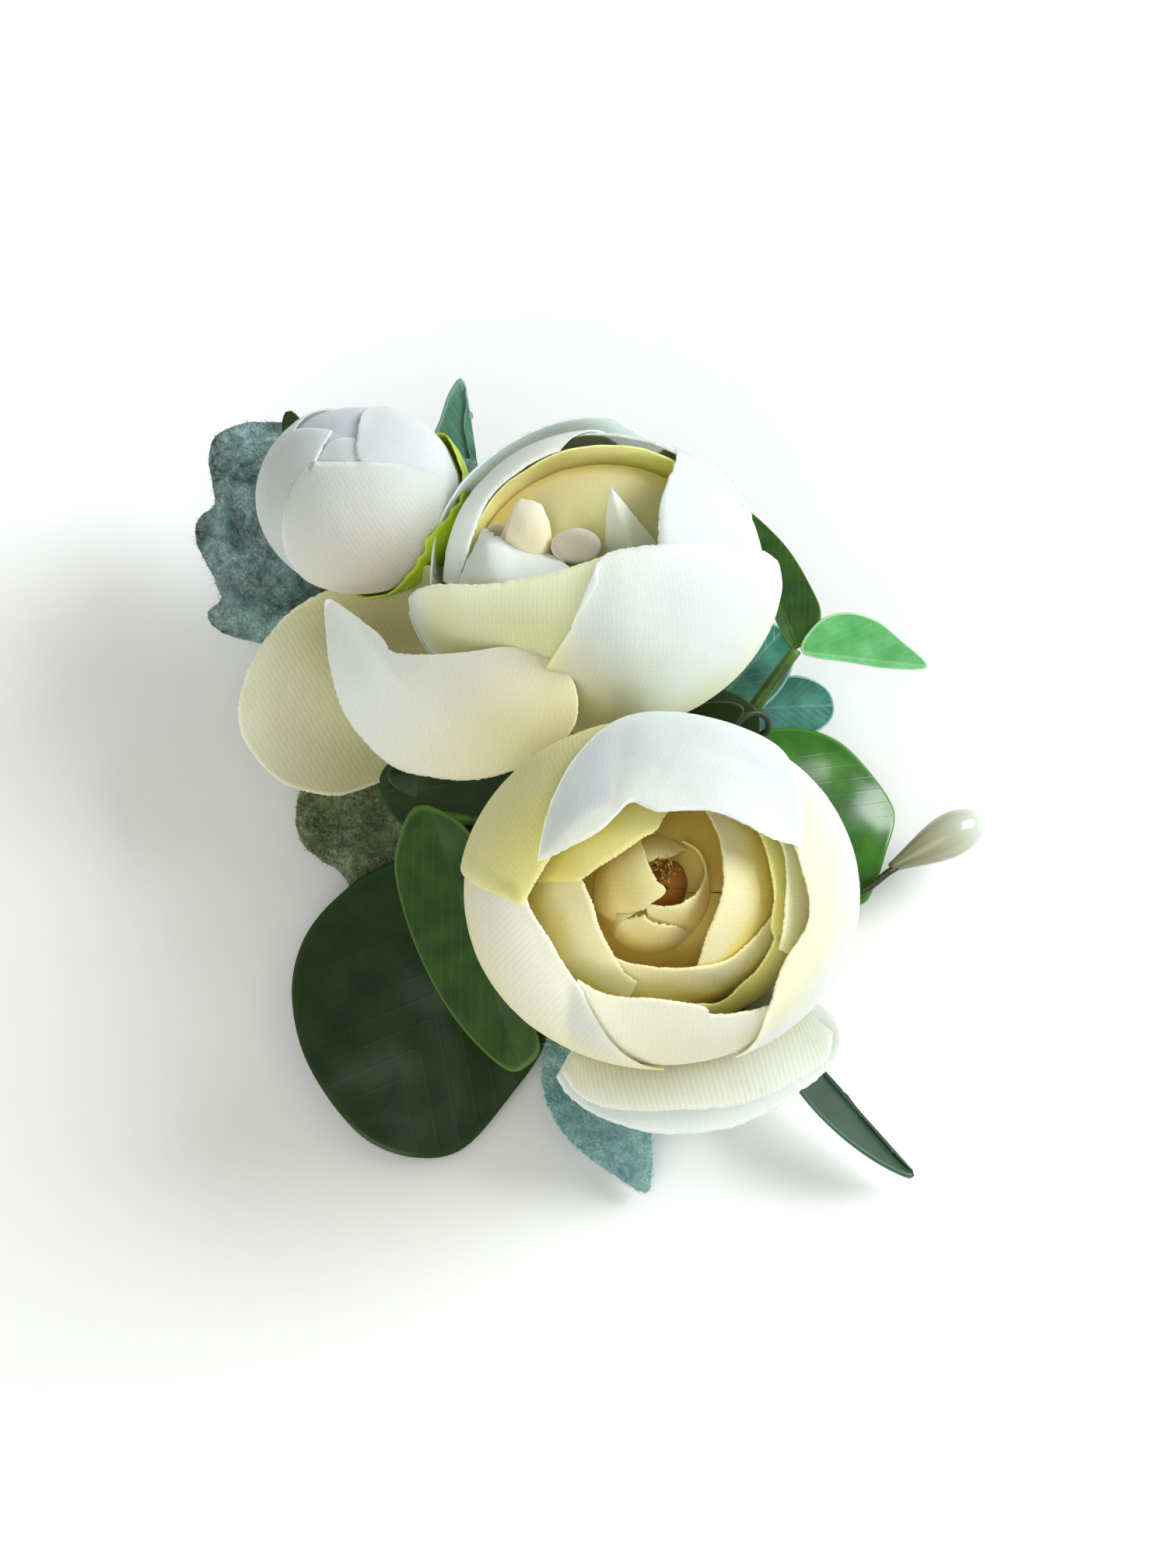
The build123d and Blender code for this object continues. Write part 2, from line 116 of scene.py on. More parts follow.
def slerp(a, b, t):
    """Between unit vectors a and b, along the great circle."""
    angle = np.arccos(np.clip((a * b).sum(-1, keepdims=True), -1, 1))
    sine = np.maximum(np.sin(angle), 1e-6)
    return unit((np.sin((1 - t) * angle) * a + np.sin(t * angle) * b) / sine)


def grid_normals(grid):
    along = np.gradient(grid, axis=0)
    across = np.gradient(grid, axis=1)
    return unit(np.cross(across, along))


def rough(points, scale, seed):
    """Smooth noise from -1 to 1 at each point."""
    flat = points.reshape(-1, 3) * scale + seed * 7.31
    values = [noise.noise(Vector(p)) for p in flat]
    return np.array(values).reshape(points.shape[:-1]) * 1.6


def cells(rows, columns, closed=True):
    """Each square of a grid, as its row, its column and the next column."""
    for i in range(rows - 1):
        for j in range(columns if closed else columns - 1):
            yield i, j, (j + 1) % columns


def net(rows, across, along):
    """A smooth sheet through a coarse net of points, rows from foot to rim."""
    rows = [even(catmull(r, 24), across) for r in rows]
    stack = np.stack(rows, 0)
    columns = [even(catmull(stack[:, i], 24), along) for i in range(across)]
    return np.stack(columns, 1)


# ---------------------------------------------------------------- meshes
def make_mesh(name, points, faces, uvs, material, body, nodes=()):
    """A finished piece: points in row metres, uvs a dict of one (u, v) per point."""
    mesh = bpy.data.meshes.new(name)
    mesh.from_pydata([tuple(p) for p in points], [], faces)
    loops = np.empty(len(mesh.loops), np.int32)
    mesh.loops.foreach_get("vertex_index", loops)
    for key, values in uvs.items():
        layer = mesh.uv_layers.new(name=key)
        layer.data.foreach_set("uv", np.asarray(values, np.float32)[loops].ravel())
    mesh.polygons.foreach_set("use_smooth", np.ones(len(mesh.polygons), bool))
    mesh.materials.append(material)
    mesh.update()
    piece = bpy.data.objects.new(name, mesh)
    bpy.context.scene.collection.objects.link(piece)
    if body:
        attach(piece, body)
    if nodes:
        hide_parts(*nodes)
    return piece


def shell(name, grid, thickness, material, nodes=(), flip=1, closed=False, axis=None,
          ribs_along=None):
    """A thin sheet of even thickness from a grid of layout points, foot row first.

    closed joins the first column to the last. axis is a leaf's midrib, as base, tip and half
    width, and ribs_along the angle of the cloth's ribs.
    """
    rows, columns, _ = grid.shape
    if closed:
        wrapped = np.concatenate((grid[:, -1:], grid, grid[:, :1]), 1)
        normals = grid_normals(wrapped)[:, 1:-1]
    else:
        normals = grid_normals(grid)
    back = grid - flip * normals * thickness
    s = np.tile(np.linspace(0, 1, columns), (rows, 1))
    t = np.tile(np.linspace(0, 1, rows)[:, None], (1, columns))
    across = np.linalg.norm(np.diff(grid, axis=1, prepend=grid[:, :1]), axis=2).cumsum(1)
    across -= across[:, columns // 2][:, None]
    along = np.linalg.norm(np.diff(grid, axis=0, prepend=grid[:1]), axis=2).cumsum(0)
    along = np.repeat(along[:, columns // 2][:, None], columns, 1)
    ring = np.stack((s, t), -1).reshape(-1, 2)
    st = ring if axis is None else axis_places(grid, *axis).reshape(-1, 2)
    if ribs_along is None:
        weave = np.stack((across, along), -1).reshape(-1, 2)
    else:
        turn = math.radians(ribs_along)
        flat = grid.reshape(-1, 3)
        beside = flat[:, 0] * math.sin(turn) - flat[:, 1] * math.cos(turn)
        weave = np.stack((beside, flat[:, 0] * math.cos(turn) + flat[:, 1] * math.sin(turn)), -1)
    index = np.arange(rows * columns).reshape(rows, columns)
    under = index + rows * columns
    faces = []
    for i, j, k in cells(rows, columns, closed):
        faces.append((index[i, j], index[i, k], index[i + 1, k], index[i + 1, j]))
        faces.append((under[i, j], under[i + 1, j], under[i + 1, k], under[i, k]))
    for _, j, k in cells(2, columns, closed):
        faces.append((index[-1, j], index[-1, k], under[-1, k], under[-1, j]))
    if closed:
        faces += [index[0][::-1], under[0]]
    else:
        faces += [(index[0, j + 1], index[0, j], under[0, j], under[0, j + 1]) for j in range(columns - 1)]
        faces += [(index[i + 1, -1], under[i + 1, -1], under[i, -1], index[i, -1]) for i in range(rows - 1)]
        faces += [(index[i, 0], under[i, 0], under[i + 1, 0], index[i + 1, 0]) for i in range(rows - 1)]
    faces = [tuple(int(v) for v in face[::flip]) for face in faces]
    points = place(np.concatenate((grid.reshape(-1, 3), back.reshape(-1, 3))))
    uvs = {"st": np.vstack((st, st)), "weave": np.vstack((weave, weave)), "ring": np.vstack((ring, ring))}
    return make_mesh(name, points, faces, uvs, material, TOP, nodes)


def axis_places(grid, base, tip, half_width):
    """Across (0 to 1) and along (0 to 1) places of a leaf's points on its own midrib."""
    off, along = from_axis(grid[..., 0], grid[..., 1], base, tip)
    return np.stack((off / (2 * half_width) + 0.5, along), -1)


def tube(points, radii, sides):
    """Points and faces of a round wire along a line, for one radius or one per point."""
    line = np.asarray(points, float)
    radii = np.broadcast_to(np.asarray(radii, float), (len(line),))
    tangents = unit(np.gradient(line, axis=0))
    side = unit(np.cross(tangents[0], (0.31, 0.52, 0.79)))
    rings = []
    for p, tangent, r in zip(line, tangents, radii):
        side = unit(side - tangent * (side @ tangent))
        other = np.cross(tangent, side)
        turn = np.linspace(0, 2 * math.pi, sides, endpoint=False)[:, None]
        rings.append(p + r * (np.cos(turn) * side + np.sin(turn) * other))
    index = np.arange(len(line) * sides).reshape(len(line), sides)
    faces = [(index[i, j], index[i, k], index[i + 1, k], index[i + 1, j])
             for i, j, k in cells(len(line), sides)]
    faces += [index[0][::-1], index[-1]]
    return np.vstack(rings), [tuple(int(v) for v in f) for f in faces]


def round_places(rings, sides):
    """Round and along places for the points of a tube."""
    return np.stack((np.tile(np.linspace(0, 1, sides), rings), np.repeat(np.linspace(0, 1, rings), sides)), 1)


def wire(name, points, radii, material, nodes=(), sides=12):
    """A wire or stem piece along a smooth line, with one radius or several along it."""
    line = even(catmull(points, 16), max(12, 6 * len(points)))
    if np.ndim(radii):
        at = np.linspace(0, 1, len(line))
        radii = np.interp(at, np.linspace(0, 1, len(radii)), radii)
    verts, faces = tube(line, radii, sides)
    return make_mesh(name, place(verts), faces, {"st": round_places(len(line), sides)}, material, TOP,
                     nodes)


# ---------------------------------------------------------------- materials
BAND = 0.314  # the scale at which a wave texture's bands lie one unit apart
CROSS_THREADS = 0.3  # mm from one cross thread of the cloth to the next


def rgba(colour):
    """A colour as the shaders take it, from a screen hex string or from three linear values."""
    if isinstance(colour, str):
        screen = [int(colour[i : i + 2], 16) for i in (0, 2, 4)]
        colour = [((c / 255 + 0.055) / 1.055) ** 2.4 if c > 10 else c / 255 / 12.92 for c in screen]
    return (*colour, 1.0)


class Skin:
    """A material in the making. Its methods add one node each and return its output."""

    def __init__(self, name):
        self.material = bpy.data.materials.new(name)
        self.material.use_nodes = True
        self.nodes = self.material.node_tree.nodes

    def put(self, socket, value):
        """Links a socket to a node's output, or gives it a value."""
        if isinstance(value, bpy.types.NodeSocket):
            self.material.node_tree.links.new(value, socket)
        elif value is not None:
            socket.default_value = value

    def node(self, kind, *inputs, output=0, **properties):
        node = self.nodes.new("ShaderNode" + kind)
        for key, value in properties.items():
            setattr(node, key, value)
        for socket, value in zip(node.inputs, inputs):
            self.put(socket, value)
        return node.outputs[output]

    def uv(self, name):
        return self.node("UVMap", uv_map=name)

    def part(self, vector, axis):
        return self.node("SeparateXYZ", vector, output=axis)

    def spot(self):
        """Places in the piece's own space."""
        return self.node("TexCoord", output="Object")

    def maths(self, operation, *values):
        return self.node("Math", *values, operation=operation)

    def vector(self, operation, *values, output=0):
        return self.node("VectorMath", *values, operation=operation, output=output)

    def span(self, value, low, high, to_low=0.0, to_high=1.0, kind="LINEAR"):
        """The value's range from low to high spread over another range."""
        return self.node("MapRange", value, low, high, to_low, to_high, interpolation_type=kind)

    def ease(self, value, low, high, to_low=0.0, to_high=1.0):
        return self.span(value, low, high, to_low, to_high, "SMOOTHSTEP")

    def noise(self, at, scale, detail=None, roughness=None, dimensions="2D"):
        return self.node("TexNoise", at, None, scale, detail, roughness, noise_dimensions=dimensions)

    def bands(self, at, width, direction, distortion, detail_scale=None):
        return self.node("TexWave", at, BAND / width, distortion, 1.0, detail_scale, output=1,
                         wave_type="BANDS", bands_direction=direction)

    def bump(self, height, strength, distance, normal=None):
        node = self.nodes.new("ShaderNodeBump")
        values = {"Height": height, "Strength": strength, "Distance": distance, "Normal": normal}
        for key, value in values.items():
            self.put(node.inputs[key], value)
        return node.outputs[0]

    def mix(self, factor, a, b, mode="MIX"):
        node = self.nodes.new("ShaderNodeMix")
        node.data_type = "RGBA"
        node.blend_type = mode
        for index, value in ((0, factor), (6, a), (7, b)):
            self.put(node.inputs[index], value)
        return node.outputs[2]

    def ramp(self, factor, *stops):
        node = self.nodes.new("ShaderNodeValToRGB")
        self.put(node.inputs[0], factor)
        elements = node.color_ramp.elements
        while len(elements) < len(stops):
            elements.new(0.5)
        for element, (at, colour) in zip(elements, stops):
            element.position = at
            element.color = rgba(colour)
        return node.outputs[0]

    def patch(self, st, centre, size):
        """1 at a place on a petal, falling to 0 at the given distance across and along it."""
        moved = self.vector("SUBTRACT", st, (*centre, 0))
        scaled = self.vector("MULTIPLY", moved, (1 / size[0], 1 / size[1], 0))
        return self.ease(self.vector("LENGTH", scaled, output=1), 0.0, 1.0, 1.0, 0.0)

    def finish(self, colour, normal=None, **values):
        """Fills the shader's sockets, named with _ for a space, and gives the material."""
        values.update(Base_Color=colour, Normal=normal)
        for key, value in values.items():
            self.put(self.nodes["Principled BSDF"].inputs[key.replace("_", " ")], value)
        return self.material


def cloth(name, foot, body, rim, patches=(), ribs=0.5, rib_width=0.5, glow=0.6, band=(0.25, 0.6, 0.92)):
    """Stiffened flower cloth: colour from foot to rim, tinted patches (one is painted shade), fine ribs with
    painted shade in their grooves, and mottling.
    """
    skin = Skin(name)
    st, weave = skin.uv("st"), skin.uv("weave")
    wander = skin.noise(weave, 0.22, 3.0)
    along = skin.maths("SUBTRACT", skin.maths("MULTIPLY_ADD", wander, 0.24, skin.part(st, 1)), 0.12)
    colour = skin.ramp(along, *zip(band, (foot, body, rim)))
    for centre, size, patch_colour in patches:
        colour = skin.mix(skin.patch(st, centre, size), colour, rgba(patch_colour))
    rib = skin.bands(weave, rib_width, "X", 0.6, 0.4)
    cross = skin.bands(weave, CROSS_THREADS, "Y", 0.5)
    threads = skin.noise(weave, 3.5, 4.0)
    # painted shade: the colour darkens in the rib grooves and where the thread noise is low, just where the
    # bump sinks
    shade = skin.maths("MULTIPLY", skin.span(rib, 0.0, 1.0, 1.0 - 0.05 * ribs, 1.0),
                       skin.span(threads, 0.3, 0.7, 0.965, 1.02))
    colour = skin.mix(1.0, colour, skin.node("CombineXYZ", shade, shade, shade), "MULTIPLY")
    height = skin.maths("MULTIPLY", rib, 0.6 * ribs)
    height = skin.maths("MULTIPLY_ADD", cross, 0.25, height)
    height = skin.maths("MULTIPLY_ADD", threads, 0.5, height)
    return skin.finish(colour, skin.bump(height, 0.4, 0.00004), Roughness=0.72, Specular_IOR_Level=0.3,
                       Sheen_Weight=0.15, Subsurface_Weight=glow, Subsurface_Radius=(1.0, 1.0, 0.9),
                       Subsurface_Scale=0.0030)


def leaf_skin(name, dark, light, rim, roughness=0.35, vein=0.5, coat=0.3):
    """A waxy leaf: a pale midrib, side veins and a lighter edge, with st from side to side."""
    skin = Skin(name)
    st, weave = skin.uv("st"), skin.uv("weave")
    side = skin.maths("ABSOLUTE", skin.maths("SUBTRACT", skin.part(st, 0), 0.5))
    colour = skin.ramp(skin.noise(weave, 0.35, 5.0), (0.25, dark), (0.75, light))
    colour = skin.mix(skin.ease(skin.part(skin.uv("ring"), 1), 0.93, 0.99), colour, rgba(rim))
    midrib = skin.ease(side, 0.035, 0.0)
    slant = skin.maths("MULTIPLY_ADD", side, -0.9, skin.part(st, 1))
    wave = skin.maths("SINE", skin.maths("MULTIPLY", slant, 60.0))
    lines = skin.maths("MULTIPLY_ADD", skin.ease(wave, 0.86, 1.0), 0.45, midrib)
    colour = skin.mix(skin.maths("MULTIPLY", lines, vein * 0.5), colour, rgba(rim))
    height = skin.maths("MULTIPLY_ADD", skin.noise(weave, 2.5, 3.0), 0.25, lines)
    return skin.finish(colour, skin.bump(height, 0.5 * vein + 0.1, 0.00012), Roughness=roughness,
                       Specular_IOR_Level=0.35, Coat_Weight=coat, Coat_Roughness=0.25,
                       Subsurface_Weight=0.08, Subsurface_Scale=0.0006)


def plush(name, dark, light, scale=1.0):
    """Flocked cloth: mottled matte colour, with painted shade in the hollows between its lumps, and a fine
    nap.
    """
    skin = Skin(name)
    weave = skin.uv("weave")
    tufts = skin.noise(weave, 0.28, 3.0)
    # the tufts that raise the lumps in the bump below also darken the colour where they sink: painted shade
    # in the hollows, on top of the mottling
    depth = skin.maths("ADD", skin.noise(weave, 0.9 * scale, 6.0, 0.7), tufts)
    colour = skin.ramp(skin.maths("MULTIPLY", depth, 0.5), (0.38, dark), (0.62, light))
    nap = skin.noise(weave, 5.0, 6.0, 0.75)
    return skin.finish(colour, skin.bump(nap, 0.9, 0.0004, skin.bump(tufts, 1.0, 0.007)), Roughness=0.95,
                       Sheen_Weight=0.8, Sheen_Roughness=0.4, Specular_IOR_Level=0.15)


def solid(name, dark, light, scale, roughness=0.4, metallic=0.0, bump_depth=0.00003, coat=0.0,
          stretch=(1, 1, 1), through=0.0):
    """Plastic, glue or metal with grain in the piece's own space."""
    skin = Skin(name)
    grain = skin.noise(skin.node("Mapping", skin.spot(), None, None, stretch), scale, 5.0, dimensions="3D")
    gloss = skin.span(grain, 0.3, 0.7, roughness - 0.08, roughness + 0.1)
    return skin.finish(skin.ramp(grain, (0.35, dark), (0.65, light)), skin.bump(grain, 0.5, bump_depth),
                       Roughness=gloss, Metallic=metallic, Coat_Weight=coat, Subsurface_Weight=through,
                       Subsurface_Scale=0.002)


# ---------------------------------------------------------------- petals and leaves
PETAL_THICK = 0.2
PETAL_ROOT = 0.16  # how far up its whorl's ball a petal begins, as a share of the way to its waist


class Ball:
    """The ball that a flower's whorl is moulded on: centre and half sizes in the layout frame,
    and foot, the way its stalk points."""

    def __init__(self, centre, half, foot):
        self.centre = np.array(centre, float)
        self.half = np.array(half, float)
        self.foot = unit(np.array(foot, float))

    def aim(self, p):
        """A unit direction from a point beside the centre: (x, y) is on the near side."""
        if len(p) == 3:
            return unit(np.array(p, float) / self.half)
        x, y = p[0] / self.half[0], p[1] / self.half[1]
        q = math.hypot(x, y)
        if q >= 1:
            return np.array((x / q, y / q, 0.0))
        return np.array((x, y, math.sqrt(1 - q * q)))

    def behind(self, *points):
        """Places (x, y) on the ball's far side."""
        near = [self.aim(p) * self.half for p in points]
        return [(x, y, -z) for x, y, z in near]

    def round(self, *turns):
        """Places on the ball's outline, as seen by the viewer, at these angles."""
        a, b, _ = self.half
        return [(a * math.cos(math.radians(t)), b * math.sin(math.radians(t)), 0.0) for t in turns]


def frayed(grid, amount, seed):
    """Small cut threads along the rim and, less, along the sides above the foot."""
    random = np.random.default_rng(seed)
    grid = grid.copy()
    rows, columns, _ = grid.shape
    step = unit(grid[-1] - grid[-3])
    pull = random.normal(0, 1, columns)
    pull = 0.8 * pull + 0.5 * np.convolve(pull, np.ones(3) / 1.7, "same")
    grid[-1] += step * (pull * amount)[:, None]
    grid[-2] += step * (pull * amount * 0.4)[:, None]
    for edge, inner in ((0, 2), (-1, -3)):
        step = unit(grid[:, edge] - grid[:, inner])
        pull = random.normal(0, 1, rows) * smooth(np.linspace(0, 1, rows), 0.3, 0.6)
        grid[:, edge] += step * (pull * amount * 0.7)[:, None]
    return grid


def creased(grid, creases):
    """Raises or sinks the sheet along lines given as ((s0, t0), (s1, t1), height, width)."""
    rows, columns, _ = grid.shape
    s, t = np.meshgrid(np.linspace(0, 1, columns), np.linspace(0, 1, rows))
    normals = grid_normals(grid)
    total = np.zeros_like(s)
    for (s0, t0), (s1, t1), height, width in creases:
        ds, dt = s1 - s0, t1 - t0
        along = np.clip(((s - s0) * ds + (t - t0) * dt) / (ds * ds + dt * dt), 0, 1)
        away = np.hypot(s - s0 - along * ds, t - t0 - along * dt)
        fade = np.sin(math.pi * np.clip(along, 0.04, 0.96)) ** 0.5
        total += height * np.exp(-((away / width) ** 2)) * fade
    return grid + normals * total[..., None]


def ball_petal(name, ball, waist, rim, material, nodes=(), lift=(0.2, 0.2), curl=0.0, wave=0.14,
               fray=0.035, seed=1, size=(150, 44), share=0.35, creases=()):
    """A petal that hugs a ball.

    waist and rim are rows of places on it, in the same order across. lift is how far its first
    and last side stand off the ball, and curl how far its rim does. share is the part of its
    rows that lie below the waist.
    """
    across, along = size
    middle = unit(even(catmull([ball.aim(p) for p in waist], 10), across))
    top = unit(even(catmull([ball.aim(p) for p in rim], 10), across))
    bottom = slerp(np.broadcast_to(ball.foot, middle.shape), middle, PETAL_ROOT)
    low = max(4, int(along * share))
    t_low = np.linspace(0, 1, low, endpoint=False)
    t_high = np.linspace(0, 1, along - low)
    rows = [slerp(bottom, middle, t) for t in t_low] + [slerp(middle, top, t) for t in t_high]
    aim = np.stack(rows, 0)
    grid = ball.centre + aim * ball.half
    out = unit(aim / ball.half)
    s = np.linspace(0, 1, across)[None, :]
    t = np.linspace(0, 1, along)[:, None]
    off = lift[0] + (lift[1] - lift[0]) * s + curl * smooth(t, 0.72, 1.0) ** 2
    off = off + wave * rough(grid, 0.16, seed) * smooth(t, 0.1, 0.8)
    off = off + 0.35 * wave * rough(grid, 0.6, seed + 9) * t
    grid = frayed(creased(grid + out * off[..., None], creases), fray, seed)
    return shell(name, grid, PETAL_THICK, material, nodes, flip=flip_for(grid, ball.centre))


def flip_for(grid, centre):
    """1 if the grid's normals point away from the centre, else -1."""
    normals = grid_normals(grid)
    return 1 if ((grid - centre) * normals).sum() > 0 else -1


def net_petal(name, rows, material, nodes=(), size=(120, 44), wave=0.12, fray=0.04, seed=1,
              creases=()):
    """A free petal through a coarse net of layout points."""
    grid = net(rows, *size)
    t = np.linspace(0, 1, size[1])[:, None]
    off = wave * rough(grid, 0.18, seed) * (0.3 + 0.7 * t) + 0.3 * wave * rough(grid, 0.7, seed + 5)
    grid = frayed(creased(grid + grid_normals(grid) * off[..., None], creases), fray, seed)
    return shell(name, grid, PETAL_THICK, material, nodes)


def disc(name, outline, depth, thickness, material, nodes=(), axis=None, ribs_along=None,
         count=150, rings=34, fray=0.0, seed=1, wave=0.1, hub=None, rough_scale=0.2, pillow=0.0):
    """A petal or leaf with a closed outline (x, y) and a height z = depth(x, y).

    Its rings grow from the hub, and pillow is how far its edge rolls down.
    """
    random = np.random.default_rng(seed)
    rim = even(catmull(outline, 14, closed=True), count, closed=True)
    if ((rim[:, 0] - np.roll(rim[:, 0], 1)) * (rim[:, 1] + np.roll(rim[:, 1], 1))).sum() > 0:
        rim = rim[::-1]
    middle = rim.mean(0) if hub is None else np.array(hub, float)
    reach = np.linspace(0.002, 1, rings) ** 0.8
    flat = middle + reach[:, None, None] * (rim - middle)
    if fray:
        pull = random.normal(0, fray, count)
        flat[-1] += unit(rim - middle) * pull[:, None]
    z = depth(flat[..., 0], flat[..., 1])
    grid = np.concatenate((flat, z[..., None]), -1)
    grid[..., 2] += wave * rough(grid, rough_scale, seed)
    grid[..., 2] -= pillow * reach[:, None] ** 6
    flip = 1 if grid_normals(grid)[..., 2].mean() > 0 else -1
    return shell(name, grid, thickness, material, nodes, flip, True, axis, ribs_along)


def plane_through(a, b, c):
    """The height function of the plane through three layout points."""
    a, b, c = (np.array(p, float) for p in (a, b, c))
    n = np.cross(b - a, c - a)
    return lambda x, y: a[2] - (n[0] * (x - a[0]) + n[1] * (y - a[1])) / n[2]


def from_axis(x, y, base, tip):
    """Signed distance from a leaf's midrib, and the share of the way along it."""
    base, tip = np.array(base, float)[:2], np.array(tip, float)[:2]
    axis = tip - base
    length = np.linalg.norm(axis)
    axis /= length
    dx, dy = x - base[0], y - base[1]
    return dx * -axis[1] + dy * axis[0], (dx * axis[0] + dy * axis[1]) / length


COOL = "ecfbf9"  # the bluish white of a petal in shade
CREAM = "f2ecbe"
FOOT_DOWN = (0, 0, -1)
CLOSED_TOP = [(0.3, 0), (0, 0.3), (-0.3, 0), (0, -0.3), (0.3, -0.02)]  # a rim drawn in to a point

# ---------------------------------------------------------------- the rose
rose = Ball((7.2, -10.7, 15.0), (19.4, 17.1, 17.4), FOOT_DOWN)

P1_SKIN = cloth("rose_petal_1_cloth", "e2da78", "f4ec96", "f8f084", ribs=1.0)
P2_SKIN = cloth("rose_petal_2_cloth", "f2e684", "f7f3c0", "f6f9e8", ribs=0.9, band=(0.30, 0.52, 0.85),
    rib_width=0.6)
P3_SKIN = cloth("rose_petal_3_cloth", "f2e788", "f9f6c2", "f9fade", ribs=0.5, band=(0.15, 0.5, 0.9))
P4_SKIN = cloth("rose_petal_4_cloth", "f8f0aa", "f0faf4", "faf8c8", ribs=0.4, band=(0.15, 0.42, 0.85))
P5_SKIN = cloth("rose_petal_5_cloth", CREAM, COOL, COOL, ribs=0.5, band=(0.05, 0.3, 0.9))
INNER_PALE = cloth("rose_inner_pale_cloth", "e4dc4c", "faf696", "fcf8cc", ribs=0.4, band=(0.60, 0.78, 0.95))
INNER_LIME = cloth("rose_inner_lime_cloth", "ece25a", "f6f076", "fcf88c", ribs=0.4, band=(0.60, 0.78, 0.97))
INNER_YELLOW = cloth("rose_inner_yellow_cloth", "f0d054", "fce870", "fef28c", ribs=0.5,
    band=(0.60, 0.80, 0.97))
INNER_CREAM = cloth("rose_inner_cream_cloth", "e8cc46", "fae880", "fef6b2", ribs=0.4,
    band=(0.66, 0.77, 0.88))
HEART_SKIN = cloth("rose_heart_cloth", "ecba46", "fada6c", "fef09c", ribs=0.5, band=(0.30, 0.62, 0.92))
DEEP_SKIN = cloth("rose_deep_cloth", "f0b846", "f4c858", "fadc70", ribs=0.3)
COLLAR_SKIN = cloth("rose_collar_cloth", "cac8b0", "d6d6c0", "dee0ce", ribs=2.0, rib_width=0.55)
COLLAR_PALE = cloth("rose_collar_pale_cloth", "d6d8c4", "e2eae0", "e8f2ec", ribs=0.5)

ball_petal("rose_petal_3", rose, rose.round(246, 262, 280, 303),
    [(-8.2, -8.6), (-5.5, -10), (-0.3, -10.5), (4.1, -11.2), (5, -12), (8.9, -11.7), (11, -11)], P3_SKIN,
    ["rose_outer_petal_3"], lift=(0, 0), curl=0.25, seed=3)
ball_petal("rose_petal_2", rose, rose.round(163, 190, 230, 271),
    [(-13.4, 0.6), (-12.8, -1.6), (-11.1, -4.2), (-9.5, -6.9), (-7.5, -9.6)], P2_SKIN,
    ["rose_outer_petal_2"], lift=(0, 0.5), curl=0.2, seed=2)
ball_petal("rose_petal_4", rose, rose.round(66, 30, 0, -35, -68),
    [(12.4, 6), (13.6, 2.6), (14.3, -2.4), (11.9, -6.8), (10.1, -11.3)], P4_SKIN,
    ["rose_outer_petal_4"], lift=(0.1, 0.6), curl=0.25, seed=4,
    creases=[((0.35, 0.35), (0.75, 0.95), 0.25, 0.12)])
ball_petal("rose_petal_1", rose, rose.round(100, 120, 146, 172),
    [(-5, 8.2), (-9, 5.4), (-11.4, 2.2), (-13.2, -1.2)], P1_SKIN, ["rose_outer_petal_1"],
    lift=(0.2, 0.6), curl=0.1, seed=1)
ball_petal("rose_petal_5", rose, rose.round(93, 76, 59),
    [(-11.6, 2.8), (-8.9, 4), (-5.9, 5.6), (-4.3, 7.1), (-2.7, 8.4), (-0.3, 7.6), (4.9, 7.5), (10.2, 5.2),
     (13.4, 4.2)], P5_SKIN, ["rose_outer_petal_5"], lift=(0.8, 0.7), curl=0.35, seed=5,
    size=(120, 60),
    creases=[((0.45, 0.70), (0.98, 0.72), 0.22, 0.05), ((0.08, 0.5), (0.3, 0.95), 0.15, 0.06)])


def whorl(shrink, depth):
    """A smaller ball inside the rose: its width as a share of the rose's, and its depth."""
    return Ball(rose.centre, (rose.half[0] * shrink, rose.half[1] * shrink, depth), FOOT_DOWN)


second, third, fourth = whorl(0.88, 16.6), whorl(0.78, 16.0), whorl(0.66, 15.2)
ball_petal("rose_petal_6", second, second.round(50, 20, 0, -30),
    [(11, 6.2), (12.1, 4.1), (12.4, 1.5), (12.2, -1.6), (11.6, -5.6)], INNER_PALE,
    ["rose_middle_petal_1"], seed=6, fray=0.04)
ball_petal("rose_petal_7", third, third.round(50, 20, 0, -25),
    [(9.2, 6.6), (10.1, 4.6), (10.7, 2.5), (11.2, -0.2), (10.9, -3.1), (11.2, -4.6)], INNER_LIME,
    ["rose_middle_petal_2"], seed=7, fray=0.04)
ball_petal("rose_petal_8", third, third.round(262, 290, 320, 342),
    [(3.6, -10.9), (5.7, -10.8), (7.7, -9.4), (9.6, -7.6), (11.3, -4.2)], INNER_LIME,
    ["rose_middle_petal_3"], seed=8, fray=0.04)
ball_petal("rose_petal_9", third, third.round(72, 100, 140, 178),
    [(0.5, 7.8), (-0.4, 6.1), (-1.7, 5.4), (-3.4, 4.2), (-6.3, 2.3), (-8, 1)], INNER_YELLOW,
    ["rose_middle_petal_4"], lift=(0.2, 0.4), seed=9, fray=0.04)
ball_petal("rose_petal_10", third, third.round(168, 195, 225, 252),
    [(-8.1, 1.3), (-7.1, -1), (-6.3, -3.5), (-5.2, -6), (-3.9, -8.2), (-2.4, -9.3)], INNER_CREAM,
    ["rose_inner_petal_1"], lift=(-0.4, -0.4), seed=10, fray=0.04)
ball_petal("rose_petal_11", fourth, fourth.round(212, 250, 290, 345),
    [(-5.6, -5.6), (-3.9, -6.6), (-1.7, -7), (2, -7.2), (6.3, -6.4), (8.5, -4.6), (10.3, -2.2)],
    INNER_CREAM, ["rose_inner_petal_2"], lift=(0.3, 0.9), seed=11, fray=0.04)
